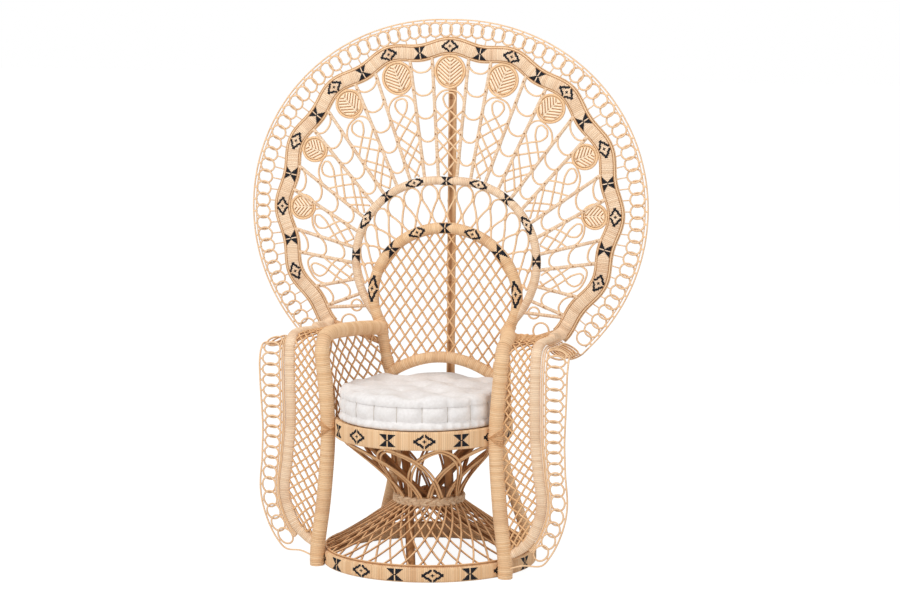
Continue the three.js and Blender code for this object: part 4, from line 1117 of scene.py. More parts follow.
def inner_arch():
    """The inner arch and its legs, with motifs at angles round the centre of the arch."""
    path = above_floor(INNER_PATH)
    reach = lengths(path)
    up = (path - [0, BACK_FOOT_Y, 0]) @ np.array([0, sind(LEAN), cosd(LEAN)])
    turn = np.degrees(np.arctan2(path[:, 0], up - INNER_CENTRE))
    number_at = arch_motif(INNER_MOTIFS)

    def motif_at(share):
        return number_at(np.interp(share, reach / reach[-1], turn))

    radius = INNER_DIAMETER / 2 + WINDING
    motif_pole("inner_arch", path, radius, motif_at, CANE_LIGHT, CANE_DEEP, INNER_SPACING, "cane")


def second_arch():
    """The second arch, with motifs at angles that run evenly along it."""
    path = on_back(second_place(np.linspace(-SECOND_END, SECOND_END, 400)))
    number_at = arch_motif(SECOND_MOTIFS)

    def motif_at(share):
        return number_at(lerp(-SECOND_END, SECOND_END, share))

    radius = SECOND_DIAMETER / 2
    motif_pole("second_arch", path, radius, motif_at, PALE_LIGHT, PALE_DEEP, SECOND_SPACING, "pale_cane")


def lower_arch():
    """The lower arch, a wound parabola from leg to leg."""
    across = np.linspace(-LEG_NARROW, LEG_NARROW, 120)
    path = on_back(np.stack([across, lower_arch_up(across)], -1))
    surface = wrapped(path, rod(LOWER_DIAMETER / 2 + WINDING), BACK_NORMAL)
    piece("wound_lower_arch", [surface], CANE_WOUND, "cane", "lower_arch")


def rear_pole():
    """A brown pole behind the back, from the seat ring to the top of the fan, swollen at its joints."""
    foot = points(0, SEAT_Y + SEAT_RADIUS - SEAT_WALL / 2, SEAT_TOP + 0.5)
    top = on_back(np.array([0, POLE_TOP]), -POLE_BEHIND)
    share = np.linspace(0, 1, 240)
    from_joint = (share * POLE_JOINTS) % 1 - 0.5
    outline = grown(rod(POLE_DIAMETER / 2 - 0.6), JOINT_SWELL * np.exp(-(from_joint / 0.03) ** 2))
    surface = swept(lerp(foot, top, share[:, None]), outline, X_AXIS)
    piece("brown_rear_pole", [surface], POLE_BARE, "shaded_cane", "rear_pole")


def scallop_band():
    """The wide wrapped band with its motifs, the canes along its edges, and brown canes beside
    them that paint the shade lines along its beads.
    """
    angle = np.linspace(-SCALLOP_END, SCALLOP_END, 900)
    path = on_back(band_place(angle))
    outline = lens(BAND_FLAT / 2, BAND_EDGE / 2, BAND_CROWN / 2)
    across = np.where(outline[:, 0] > 0, outline[:, 1], NO_MOTIF)
    reach = lengths(path)

    def motif_at(share):
        number = np.interp(share, reach / reach[-1], angle / (SCALLOP_PITCH / 2))
        return np.clip(number, -BAND_LAST_MOTIF, BAND_LAST_MOTIF)

    finish = wound_cane("scallop_band_cane", PALE_LIGHT, PALE_DEEP, BAND_SPACING)
    surface = wrapped(path, outline, BACK_NORMAL, motif_at=motif_at, across=across)
    piece("wound_scallop_band", [surface], finish, "pale_cane", "scallop_band")
    piece("band_bead_canes", edge_canes(BAND_BEADS, 6), PALE_BARE, "pale_cane")
    # Painted shade: brown canes along the beads stand for the shade lines there
    piece("band_shade_lines", edge_canes(BAND_SHADE_LINES, 5), BROWN_AND_SHADE_BARE, "shaded_cane")
    bridge = [along(FRAME_PATH, 0.88), along(FRAME_PATH, 0.96)]
    bridge += [on_back(band_place(SCALLOP_END - 1.5)), on_back(band_place(SCALLOP_END - 5))]
    collar = wrapped(through(bridge), oval(*BAND_COLLAR, 16), BACK_NORMAL)
    pair("band_end_bindings", [collar], PALE_WOUND, "pale_cane")


def edge_canes(rows, sides):
    """Canes that follow the band at a distance out from one of its edges."""
    angle = np.linspace(-SCALLOP_END, SCALLOP_END, 320)
    surfaces = []
    for way, out, lift, radius in rows:
        surfaces.append(back_canes(band_place(angle, way * (BAND_FLAT / 2 + out)), radius, lift, sides))
    return surfaces


def rim_place(angle, inset):
    """A place at a distance inside the rim of the fan."""
    radius = polar_radius(LACE_RADIUS, LACE_WIDENING, LACE_WIDEST, angle)
    return polar_place(BAND_CENTRE, radius - inset, angle)


def back_lace():
    """Rings linked in a chain inside a double rim, each tied to the rim and to the bead of the band."""
    fine = np.linspace(-LACE_END, LACE_END, 360)
    surfaces = [back_canes(rim_place(fine, RIM_INSET), RIM_CANE)]
    surfaces.append(back_canes(rim_place(fine, LACE_TIE), RIM_INNER_CANE))
    angle = lerp(-LACE_END, LACE_END, (np.arange(LACE_RINGS) + 0.5) / LACE_RINGS)
    lobes = polar_radius(BAND_RADIUS, BAND_WIDENING, BAND_WIDEST, angle) + SCALLOP_DEPTH + BAND_WIDTH / 2
    width = polar_radius(LACE_RADIUS, LACE_WIDENING, LACE_WIDEST, angle) - lobes
    half = np.minimum(LACE_RING, (width - LACE_TIE - 4) / 2)
    centres = on_back(rim_place(angle, LACE_TIE + half))
    rim = on_back(rim_place(angle, RIM_INSET))
    across = unit(rim - centres)
    onward = np.cross(across, BACK_NORMAL)
    normal = np.broadcast_to(BACK_NORMAL, across.shape)
    spread = np.radians(2 * LACE_END / LACE_RINGS) * (LACE_RADIUS - 32)
    surfaces.append(hoops(centres, across, onward, normal, half, RING_SPREAD * spread))
    ties = rim - across * (LACE_TIE / 2)
    surfaces.append(barrels(ties, across, LACE_TIE + 2, *TIE_HALF, BACK_NORMAL))
    bead = on_back(band_place(angle, BAND_WIDTH / 2 + 2))
    inner = centres - across * (half - 2)[:, None]
    strings = lerp(bead[:, None], inner[:, None], np.linspace(0, 1, 3)[:, None])
    surfaces.append(canes(strings, LACE_STRING, BACK_NORMAL, sides=5))
    piece("back_lace_rings", surfaces, PALE_BARE, "pale_cane", "back_lace")


def spoke_ends(number):
    """Both ends of a spoke, as places in the back plane, on the second arch and on the band."""
    ladder = (number + 1) // 2
    turn = -SPOKE_PAIR if number % 2 else SPOKE_PAIR
    return second_place(SPOKE_PITCH * (number - 1 / 3)), band_place(SCALLOP_PITCH * (ladder - 0.5) + turn)


def spoke(inner, outer):
    """A wound spoke between its ends, set into the arch and under the edge of the band."""
    way = unit(outer - inner)
    start = inner + way * (SECOND_DIAMETER / 2 - 4)
    end = outer - way * (BAND_WIDTH / 2 - 3)
    path = on_back(lerp(start, end, np.linspace(0, 1, 40)[:, None]))
    return wrapped(path, rod(SPOKE_DIAMETER / 2, 8), BACK_NORMAL, SPOKE_TURN)


def rung_shares(ladder):
    """Even shares of the spokes' length, one for each rung of a ladder."""
    count = RUNG_COUNTS[ladder - 1]
    return np.arange(1, count + 1) / (count + 0.6)


def rungs(ladder):
    """Canes that hang between two spokes: straight across, plus a sag towards the middle of the
    fan that is flat in the middle and steep at its ends."""
    share = rung_shares(ladder)[:, None]
    near, far = spoke_ends(2 * ladder - 1), spoke_ends(2 * ladder)
    start, end = lerp(near[0], near[1], share), lerp(far[0], far[1], share)
    inward = unit(near[0] + far[0] - near[1] - far[1])
    across = np.linspace(0, 1, 17)
    sag = RUNG_SAG * (1 - np.abs(2 * across - 1) ** 2.6)
    paths = start[:, None] + (end - start)[:, None] * across[:, None] + inward * sag[:, None]
    return on_back(paths)


def ladders():
    """Pairs of spokes with sagging rungs, and a binding with a brown knot where each rung meets a spoke."""
    hanging = []
    bound = []
    knots = []
    for ladder in range(1, len(RUNG_COUNTS) + 1):
        ends = [spoke_ends(2 * ladder - 1), spoke_ends(2 * ladder)]
        share = rung_shares(ladder)[:, None]
        for inner, outer in ends:
            centres = on_back(lerp(inner, outer, share))
            ways = np.broadcast_to(unit(on_back(outer) - on_back(inner)), centres.shape)
            bound.append(barrels(centres, ways, *RUNG_BINDING, BACK_NORMAL, sides=8))
            knots.append(barrels(centres + BACK_NORMAL * KNOT_LIFT, ways, *RUNG_KNOT, BACK_NORMAL))
        hanging.append(canes(rungs(ladder), THIN, BACK_NORMAL))
        if ladder == len(RUNG_COUNTS):
            short = second_place(SPOKE_PITCH * (2 * ladder + 2 / 3))
            ends.append((short, ends[-1][1]))
        spokes = [spoke(inner, outer) for inner, outer in ends]
        pair("wound_spokes", spokes, PALE_WOUND, "pale_cane", "fan_ladder", number=f"_{ladder}")
    pair("hanging_rungs", hanging, PALE_BARE, "pale_cane")
    pair("rung_bindings", bound, PALE_WOUND, "pale_cane")
    pair("rung_knots", knots, BROWN_AND_SHADE_BARE, "shaded_cane")


def bay_place(bay, places):
    """Places in a bay between two ladders: across from -1 to 1, and a share of the spokes' length."""
    far = spoke_ends(2 * bay + 1)
    near = spoke_ends(2 * bay) if bay else tuple(end * [-1, 1] for end in far)
    across, share = places[:, :1], places[:, 1:]
    return lerp(lerp(near[0], near[1], share), lerp(far[0], far[1], share), 0.5 + 0.5 * across)


def leaf_place(bay, diameter):
    """A leaf's centre, and its directions outwards and sideways, in the back plane."""
    turn = SCALLOP_PITCH * bay
    centre = band_place(turn, -BAND_WIDTH / 2 - LEAF_GAP - diameter / 2)
    return centre, np.array([sind(turn), cosd(turn)]), np.array([cosd(turn), -sind(turn)])


def leaf(bay, diameter):
    """A coiled medallion, as its rim and its slats: two rings drawn out to a point at the foot, a
    rib along its middle and slats that rise from the rib to the rings on both sides."""
    centre, outward, sideways = leaf_place(bay, diameter)

    def spot(across, up):
        return centre + across[..., None] * sideways + up[..., None] * outward

    angle = once_round(48)
    rim = []
    for inset, radius, lift in LEAF_RINGS:
        reach = (diameter / 2 - inset) * (1 + LEAF_POINT * np.maximum(0, -cosd(angle)) ** 4)
        ring = spot(reach * sind(angle), reach * cosd(angle))
        rim.append(back_canes(ring, radius, lift, closed=True))
    inner = diameter / 2 - LEAF_INNER
    rib = np.linspace(-1.06 * inner, inner, 12)
    surfaces = [back_canes(spot(0 * rib, rib), LEAF_RIB, 0.8)]
    starts = np.arange(-inner / cosd(SLAT_RISE) + 4, 0.9 * inner, SLAT_PITCH)
    root = np.sqrt(inner ** 2 - (starts * cosd(SLAT_RISE)) ** 2)
    low = np.maximum(0, -starts * sind(SLAT_RISE) - root)
    high = -starts * sind(SLAT_RISE) + root
    kept = high - low > 4
    reach = lerp(low[kept, None], high[kept, None], np.linspace(0, 1, 5))
    for side in (1, -1):
        slats = spot(side * reach * cosd(SLAT_RISE), starts[kept, None] + reach * sind(SLAT_RISE))
        surfaces.append(back_canes(slats, SLAT))
    return rim, surfaces


def leaf_shade_plate(bay, diameter):
    """A thin plate behind a leaf that paints the shade in the gaps between its slats: an oval
    whose width follows the circle along the leaf's rib.
    """
    centre, outward, _ = leaf_place(bay, diameter)
    radius = diameter / 2 - LEAF_SHADE_PLATE_INSET
    reach = radius * np.sin(np.linspace(-np.pi / 2, np.pi / 2, 21))[1:-1]
    half = np.sqrt(radius ** 2 - reach ** 2)
    outline = rod(1, 12) * np.stack([np.full_like(half, 0.8), half], -1)[:, None]
    return swept(on_back(centre + reach[:, None] * outward, LEAF_SHADE_PLATE_LIFT), outline, BACK_NORMAL)


def bay_line(bay):
    """Inner and outer end of the middle line of a bay."""
    return bay_place(bay, np.array([[0.0, 0.0], [0.0, 1.0]]))


def crown_share(bay):
    """Share of the bay's length at which the spray peaks, at the foot of its leaf."""
    if bay >= len(LEAF_DIAMETERS):
        return BARE_CROWN
    start, end = bay_line(bay)
    foot = band_place(SCALLOP_PITCH * bay, -BAND_WIDTH / 2 - 1.07 * LEAF_DIAMETERS[bay])
    return float((foot - start) @ (end - start) / ((end - start) @ (end - start)))


def spray(bay):
    """An arched strand below a leaf, a loop inside it whose ends cross, and strands that cross
    below it from spoke to spoke. Distances below the arch are turned into shares of the bay."""
    crown = crown_share(bay)
    length = np.linalg.norm(np.diff(bay_line(bay), axis=0))

    def strand(half, top):
        left = [(across, crown - drop / length) for across, drop in half]
        return left + [(0, crown - top / length)] + [(-across, share) for across, share in left[::-1]]

    strands = [(strand(SPRAY_ARCH, 0), 0.0, 0.0), (strand(SPRAY_LOOP, LOOP_TOP), 1.8, -1.8)]
    fall = SPRAY_FALL / length
    for drop in SPRAY_DROPS:
        high = crown - drop / length
        reach = min(1, (high - SPRAY_LOWEST / length) / fall)
        if reach > 0.3:
            for way in (1, -1):
                end = (way * (2 * reach - 1), high - reach * fall)
                middle = (0.5 * (end[0] - way), 0.5 * (high + end[1]) - 2 / length)
                strands.append(([(-way, high), middle, end], 1.6 * way, 1.6 * way))
    surfaces = []
    for knots, lift_start, lift_end in strands:
        flat = bay_place(bay, through(knots, 8))
        surfaces.append(back_canes(flat, FINE, np.linspace(lift_start, lift_end, len(flat))))
    return surfaces


def sprays():
    """A spray in each bay, and a leaf above each but the outermost, with a plate behind the leaf
    that paints the shade in the gaps between its slats.
    """
    piece("spray_canes_middle", spray(0), PALE_BARE, "pale_cane", "fan_spray_middle")
    for bay in range(1, SPRAY_BAYS + 1):
        pair("spray_canes", spray(bay), PALE_BARE, "pale_cane", "fan_spray", number=f"_{bay}")
    for bay, diameter in enumerate(LEAF_DIAMETERS):
        rim, slats = leaf(bay, diameter)
        make = pair if bay else piece
        make(f"leaf_rims_{bay}", rim, LEAF_RIM, "pale_cane")
        make(f"leaf_canes_{bay}", slats, LEAF_BARE, "pale_cane")
        # Painted shade: a plate behind the leaf darkens the gaps between its slats
        make(f"leaf_backs_{bay}", [leaf_shade_plate(bay, diameter)], CANE_BARE, "pale_cane")


def drop_place(across, share):
    """A place between the two arches: a share across the row, and a share from the inner one out."""
    spread = 2 * across - 1
    near = inner_place(DROP_INNER_SPAN * spread, INNER_DIAMETER / 2 - 2)
    far = second_place(DROP_SECOND_SPAN * spread, 1 - SECOND_DIAMETER / 2)
    return lerp(near, far, share[..., None])


def teardrops():
    """A row of loops between the arches, round above and drawn to a tied point below."""
    right = [(-across, share) for across, share in DROP_HALF[::-1]]
    shape = through([*DROP_HALF, (0, 1), *right], 5)
    low = (np.arange(DROP_COUNT) + 0.5) / DROP_COUNT
    high = np.arange(1, DROP_COUNT) / DROP_COUNT
    across = low[:, None] + shape[:, 0] / DROP_COUNT
    share = np.broadcast_to(shape[:, 1], across.shape)
    lift = 1.2 * np.sign(shape[:, 0]) * np.minimum(1, 12 * np.abs(shape[:, 0]))
    surfaces = [back_canes(drop_place(across, share), THIN, lift)]
    for spots, (share, length) in ((low, DROP_LOW_TIE), (high, DROP_HIGH_TIE)):
        shares = np.full(spots.shape, share)
        centres = on_back(drop_place(spots, shares))
        ways = unit(on_back(drop_place(spots, shares + 0.05)) - centres)
        surfaces.append(barrels(centres, ways, length, *DROP_TIE, BACK_NORMAL))
    piece("teardrop_loops", surfaces, PALE_BARE, "pale_cane", "teardrop_row")


def panel_half_width(up):
    """Half width of the back panel at a height, from the inner side of the arch."""
    angle = np.linspace(0, INNER_END, 60)
    arch = inner_place(angle, -INNER_DIAMETER / 2 + 3)
    narrow = np.array([[LEG_NARROW - INNER_DIAMETER / 2 + 2, LEG_NARROW_HEIGHT - 40]])
    outline = np.concatenate([arch, narrow])[::-1]
    return np.interp(up, outline[:, 1], outline[:, 0])


def back_lattice():
    """Two families of slanted canes inside the arch, kept where they lie between the arch and the
    lower arch, over and under each other in turn by a cosine."""
    slope = LATTICE_HEIGHT / LATTICE_WIDTH
    number = np.arange(-30, 31)
    reach = np.linspace(-LATTICE_REACH, LATTICE_REACH, 1041)
    sill = lower_arch_up(reach) + LOWER_DIAMETER / 2 - 3
    surfaces = []
    for way in (1, -1):
        up = INNER_CENTRE + way * slope * (reach - LATTICE_WIDTH * number[:, None])
        inside = (np.abs(reach) < panel_half_width(up)) & (up > sill)
        inside &= up < INNER_CENTRE + INNER_RADIUS
        used = inside.sum(1) > 30
        first = inside[used].argmax(1)
        last = inside.shape[1] - 1 - inside[used][:, ::-1].argmax(1)
        across = lerp(reach[first][:, None], reach[last][:, None], np.linspace(0, 1, 64))
        rise = INNER_CENTRE + way * slope * (across - LATTICE_WIDTH * number[used][:, None])
        lift = way * 1.5 * np.cos(2 * np.pi * across / LATTICE_WIDTH)
        flat = np.stack([across, rise], -1)
        surfaces.append(back_canes(flat, THIN, lift))
    piece("back_lattice_canes", surfaces, CANE_BARE, "cane", "back_lattice")


def wing_panel(across, up):
    """The wing's panel, ruled between the post and the frame."""
    post = along(POST_PATH, lerp(*WING_POST_RUN, up))
    outer = along(FRAME_PATH, lerp(*WING_FRAME_RUN, up))
    way = unit(outer - post)
    post = post + way * (POST_DIAMETER / 2 - EDGE_OVERLAP)
    outer = outer - way * (FRAME_WIDTH / 2 - EDGE_OVERLAP)
    return lerp(post, outer, across[..., None])


def side_panel(across, up):
    """The panel under an arm, ruled between the seat ring and the arm rail."""
    angle = lerp(*SIDE_SEAT_ANGLES, across)
    low = round_point(SEAT_Y, SEAT_RADIUS - SEAT_WALL / 2, angle, SEAT_TOP - EDGE_OVERLAP)
    high = along(POST_PATH, lerp(*SIDE_ARM_RUN, across))
    high = high - unit(high - low) * (POST_DIAMETER / 2 - EDGE_OVERLAP)
    return lerp(low, high, up[..., None])


def wings():
    """Posts, frames and lattices of both sides, then their laces, rails and bindings."""
    post = wrapped(above_floor(POST_PATH), rod(POST_DIAMETER / 2 + WINDING, 18), X_AXIS)
    pair("wound_post", [post], CANE_WOUND, "cane", "front_post")
    bar = oval(FRAME_WIDTH / 2, FRAME_DEPTH / 2, 16)
    pair("wound_wing_frame", [wrapped(FRAME_PATH, bar, X_AXIS)], PALE_WOUND, "pale_cane", "wing_frame")
    pair("wing_lattice_canes", woven(wing_panel, *WING_CELLS), CANE_BARE, "cane", "wing_lattice")
    pair("arm_lattice_canes", woven(side_panel, *SIDE_CELLS), CANE_BARE, "cane", "arm_side_lattice")
    wing_lace()
    back_rails()
    post_lashings()
    leg_bindings()
    corner_rings()


def back_rails():
    """Straight wound rails, from a height on the rear legs to the lower ends of the band."""
    arch_end = inner_place(INNER_END)
    share = (arch_end[1] - RAIL_HEIGHT) / (arch_end[1] - LEG_NARROW_HEIGHT)
    start = lerp(arch_end, np.array([LEG_NARROW, LEG_NARROW_HEIGHT]), share)
    end = band_place(SCALLOP_END, -BAND_WIDTH / 4)
    path = on_back(lerp(start, end, np.linspace(0, 1, 30)[:, None]))
    rail = wrapped(path, rod(RAIL_DIAMETER / 2, 12), BACK_NORMAL)
    # The rails are in the darker wound cane, painted shade
    pair("wound_back_rail", [rail], SHADED_WOUND, "shaded_cane", "arm_back_rail")


def wing_lace_place(share, reach):
    """Places beside the frame: outwards is the part of X that is square to the frame, turned down
    over the arm, and the lace widens from its foot by a smooth step."""
    frame_share = lerp(*WING_LACE_RUN, share)
    way = heading(FRAME_PATH, frame_share)
    level = unit(X_AXIS - way * way[..., :1])
    droop = (WING_LACE_DROOP * smooth_step(frame_share, *DROOP_SHARES))[..., None]
    outward = level * cosd(droop) + np.cross(way, level) * sind(droop)
    width = WING_LACE_WIDTH * lerp(0.76, 1, smooth_step(share, 0.1, 0.6))
    return along(FRAME_PATH, frame_share) + outward * (FRAME_WIDTH / 2 + 0.8 + reach * width)[..., None]


def wing_lace():
    """Rings linked in a chain beside the frame, tied to bead canes on the frame's edge and to the rim,
    which runs on from the toe to the foot of the post and from the top to the rim of the fan."""
    fine = np.linspace(0, 1, 220)
    rim = wing_lace_place(fine, WING_LACE_RIM)
    foot = round_point(0, BASE_RADIUS + POST_DIAMETER, POST_FOOT_ANGLE, 30)
    corner = on_back(rim_place(LACE_END, RIM_INSET))
    knots = np.concatenate([[foot, lerp(foot, rim[0], 0.4) + [0, 0, 5]], rim[::6], [corner]])
    lines = [wing_lace_place(fine, share) for share in WING_LACE_BEADS]
    way = heading(FRAME_PATH, lerp(*WING_LACE_RUN, fine))
    surfaces = [canes(np.stack(lines), RIM_CANE, np.cross(X_AXIS, way))]
    surfaces.append(canes(through(knots, 8), WING_RIM_CANE, [0, -1, 0.2]))
    spot = (np.arange(WING_LACE_RINGS) + 0.5) / WING_LACE_RINGS
    start, end, edge = (wing_lace_place(spot, share) for share in (*WING_LACE_RING, WING_LACE_RIM))
    room = np.linalg.norm(end - start, axis=1)
    across = unit(end - start)
    onward = heading(FRAME_PATH, lerp(*WING_LACE_RUN, spot))
    normal = unit(np.cross(across, onward))
    centres = lerp(start, end, 0.5)
    spread = np.linalg.norm(np.gradient(centres, axis=0), axis=1)
    surfaces.append(hoops(centres, across, onward, normal, 0.5 * room, RING_SPREAD * spread))
    ties = np.concatenate([lerp(end, edge, 0.5), start - across * 1.5])
    sizes = np.concatenate([np.linalg.norm(edge - end, axis=1) + 3, np.full(len(start), 7.0)])
    ways = np.concatenate([across, onward]) * sizes[:, None]
    upright = np.concatenate([normal, normal])[:, None]
    surfaces.append(barrels(ties, ways, 1.0, *TIE_HALF, upright))
    pair("wing_lace_rings", surfaces, PALE_BARE, "pale_cane", "wing_lace")


def post_lashings():
    """Slanted ties where a post meets the seat ring: circles round the post that rise on one side."""
    length = lengths(POST_PATH)
    rising = slice(0, 90)
    middle = np.interp(SEAT_TOP - SEAT_BAND / 2, POST_PATH[rising, 2], length[rising])
    centre = along(POST_PATH, middle / length[-1])
    turn = once_round(28)
    reach = POST_DIAMETER / 2 + WINDING + LASHING_OUT
    loops = []
    for slant in LASHING_SLANTS:
        rise = slant * cosd(turn) + 0.6 * slant
        loops.append(centre + points(reach * cosd(turn), reach * sind(turn), rise))
    ties = canes(np.stack(loops), LASHING_CANE, Z_AXIS, sides=5, closed=True)
    pair("post_lashings", [ties], CANE_BARE, "cane")


def leg_bindings():
    """Extra turns of cane round each rear leg where the lower arch and the arm are tied to it."""
    right = INNER_PATH[INNER_PATH[:, 0] > 0]
    reach = INNER_DIAMETER / 2 + WINDING + LEG_BINDING_OUT
    surfaces = []
    for low, high in LEG_BINDINGS:
        part = right[(right[:, 2] > low) & (right[:, 2] < high)]
        surfaces.append(wrapped(part, rod(reach, 14), BACK_NORMAL))
    pair("leg_bindings", surfaces, CANE_WOUND, "cane")


def corner_rings():
    """Two rings of cane in the lower corner of the fan, between its last spoke and the arm."""
    surfaces = []
    for across, up, radius in CORNER_RINGS:
        surfaces.append(back_canes(np.array([across, up]) + rod(radius, 32), THIN, closed=True))
    pair("corner_ring_canes", surfaces, PALE_BARE, "pale_cane")


# Cushion

def side_inset(share):
    """How far the cushion's side stands in from its widest edge, by the share of the side's height."""
    return lerp(9, 7, share)


def drawn_in(share):
    """How far a stitch draws the side in, most at its upper end."""
    return 3 + 4 * share ** 3


def cushion_profile(angle):
    """Section of the cushion from the middle of its foot to the top of its crown, as radius and
    height at each angle: flat foot, lower roll, side, round shoulder and crown. Stitches draw the
    side in at even steps round it, and each panel between them swells by its own amount."""
    spacing = 360 / CUSHION_STITCHES
    from_stitch = ((angle / spacing + 0.5) % 1 - 0.5) * np.radians(spacing) * CUSHION_RADIUS
    pinch = np.exp(-(from_stitch / STITCH_REACH) ** 2)
    panel = np.floor(angle / spacing).astype(int) % CUSHION_STITCHES
    swelling = np.random.default_rng(7).uniform(0.75, 1.25, CUSHION_STITCHES)[panel]
    swelling = swelling * np.abs(np.sin(np.pi * angle / spacing)) ** 0.6
    edge = CUSHION_RADIUS - CUSHION_EASE
    rim = edge - CUSHION_SHOULDER - 3
    bottom = SEAT_TOP + CUSHION_REST
    seam = bottom + CUSHION_SEAM + SEAM_RISE
    rows = [(edge * share, bottom) for share in np.linspace(0, 0.955, 9)]
    roll = CUSHION_ROLL - 5 * pinch + 2.2 * np.sin(np.radians(angle) * 53)
    for turn in np.linspace(-80, 70, 8):
        rows.append((edge - CUSHION_ROLL + roll * cosd(turn), bottom + CUSHION_ROLL * (1 + sind(turn))))
    for share in np.linspace(0.04, 1, 10):
        bulge = SIDE_BULGE * np.sin(np.pi * share) ** 0.8 * swelling
        out = edge - side_inset(share) + bulge - pinch * drawn_in(share)
        rows.append((out, bottom + lerp(2 * CUSHION_ROLL, CUSHION_SEAM, share)))
    for turn in np.linspace(-8, 86, 13):
        drawn = 7 * pinch * np.exp(-((turn + 8) / 30) ** 2)
        puff = SHOULDER_PUFF * swelling * sind(max(0, turn + 8) * 1.9)
        out = rim + CUSHION_SHOULDER * cosd(turn) + puff - drawn
        rows.append((out, seam + CUSHION_SHOULDER * sind(turn)))
    crown = CUSHION_SIDE + CUSHION_CROWN - CUSHION_SEAM - SEAM_RISE - CUSHION_SHOULDER
    for share in np.linspace(0.97, 0, 26):
        rise = crown * np.sin(np.pi / 2 * min(1, 1.6 * (1 - share)))
        rows.append((rim * share, seam + CUSHION_SHOULDER + rise))
    level = np.zeros_like(angle)
    return np.array([(radius + level, height + level) for radius, height in rows])


def tuft_places():
    """Places of the tufts from the cushion's middle, evenly round each ring."""
    spots = []
    for radius, count in TUFT_RINGS:
        turn = once_round(count) + 9
        spots.append(np.stack([radius * cosd(turn), radius * sind(turn)], -1))
    return np.concatenate(spots)


def pressed(x):
    """Sides held between the arms: past a flat half width, x grows as a hyperbolic tangent."""
    flat = CUSHION_HALF_WIDTH - CUSHION_PRESS
    past = np.maximum(0, np.abs(x) - flat)
    return np.sign(x) * (np.minimum(np.abs(x), flat) + CUSHION_PRESS * np.tanh(past / CUSHION_PRESS))


def cushion_surface():
    """The stuffed form, and for each point how firmly its stitches hold it."""
    angle = once_round(STITCH_STEPS * CUSHION_STITCHES)
    rows = cushion_profile(angle)
    radius, height = rows[:, 0], rows[:, 1]
    x, y = radius * cosd(angle), radius * sind(angle)
    gap = np.min(np.linalg.norm(np.stack([x, y], -1)[..., None, :] - tuft_places(), axis=-1), -1)
    crown = np.clip((height - SEAT_TOP - CUSHION_SEAM - 14) / 10, 0, 1)
    wave = 4 * np.sin(x / 41 + 0.6) * np.cos(y / 37) + 2.5 * np.sin((x + 1.4 * y) / 29)
    wave = wave + 4 * np.cos(np.radians(7 * angle) + 1) * (radius / 210) ** 2
    height = height - crown * (TUFT_DEPTH * np.exp(-(gap / TUFT_SPREAD) ** 1.3) - wave)
    hold = np.where((gap < 7) & (crown > 0.5), 1.0, 0.0)
    hold = np.where(height < SEAT_TOP + 1.2, 1.0, hold)
    stitch = np.arange(len(angle)) % STITCH_STEPS == 0
    side = (height > SEAT_TOP + CUSHION_ROLL) & (height < SEAT_TOP + CUSHION_SEAM + 5)
    hold = np.where(stitch & side, 1.0, hold)
    places = points(pressed(x), y + CUSHION_Y, height)
    poles = np.array([places[0].mean(0), places[-1].mean(0)])
    grid = places[1:-1]
    rings, sides = grid.shape[:2]
    index = np.arange(rings * sides).reshape(rings, sides)
    here, ahead = index[:-1], index[1:]
    quads = np.stack([here, np.roll(here, -1, 1), np.roll(ahead, -1, 1), ahead], -1).reshape(-1, 4)
    foot, top = rings * sides, rings * sides + 1
    first, last = index[0], index[-1]
    lower = np.stack([np.full(sides, foot), np.roll(first, -1), first], -1)
    upper = np.stack([last, np.roll(last, -1), np.full(sides, top)], -1)
    groups = []
    for faces in (quads, lower, upper):
        blank = np.zeros(faces.shape + (2,))
        groups.append((faces, blank, blank))
    surface = Surface(np.concatenate([grid.reshape(-1, 3), poles]), groups)
    return surface, np.append(hold[1:-1].ravel(), [1.0, 1.0])


def cushion():
    """Cotton over a stuffed form: the form swells under pressure in a cloth simulation, held at
    its tufts, its side stitches and its foot, and no point moves further than a few millimetres."""
    surface, hold = cushion_surface()
    thing = piece("tufted_cushion", [surface], COTTON, "cotton", "seat_cushion", body="cushion")
    swell(thing, hold)
    smooth = thing.modifiers.new("smooth", "SUBSURF")
    smooth.use_limit_surface = False
    smooth.levels = 1
    smooth.render_levels = 1
    cushion_threads()


def cushion_threads():
    """Thread of the side stitches, from seam to seam, and a knot in each tuft."""
    angle = once_round(CUSHION_STITCHES)
    share = np.linspace(0, 1, 6)
    radius = CUSHION_RADIUS - CUSHION_EASE - side_inset(share) - drawn_in(share) + 1.5
    height = lerp(SEAT_TOP + 2 * CUSHION_ROLL, SEAT_TOP + CUSHION_SEAM + 2, share)
    x = pressed(radius * cosd(angle)[:, None])
    y = CUSHION_Y + radius * sind(angle)[:, None]
    threads = canes(points(x, y, height), 0.9, np.array([0.6, 0.8, 0]), sides=5)
    spots = tuft_places()
    top = SEAT_TOP + CUSHION_SIDE + CUSHION_CROWN - TUFT_DEPTH - 1
    centres = points(spots[:, 0], spots[:, 1] + CUSHION_Y, top - 6 * (np.hypot(*spots.T) / 180) ** 2)
    knots = barrels(centres, np.broadcast_to(X_AXIS, centres.shape), 6, 2.2, 2.2, Z_AXIS)
    # The thread is painted darker than the cotton, as the shade along the stitch lines
    thread = bare_cane("cushion_thread", srgb(214, 206, 196), srgb(196, 186, 174), srgb(170, 160, 148))
    piece("cushion_threads", [threads, knots], thread, "cotton", body="cushion")


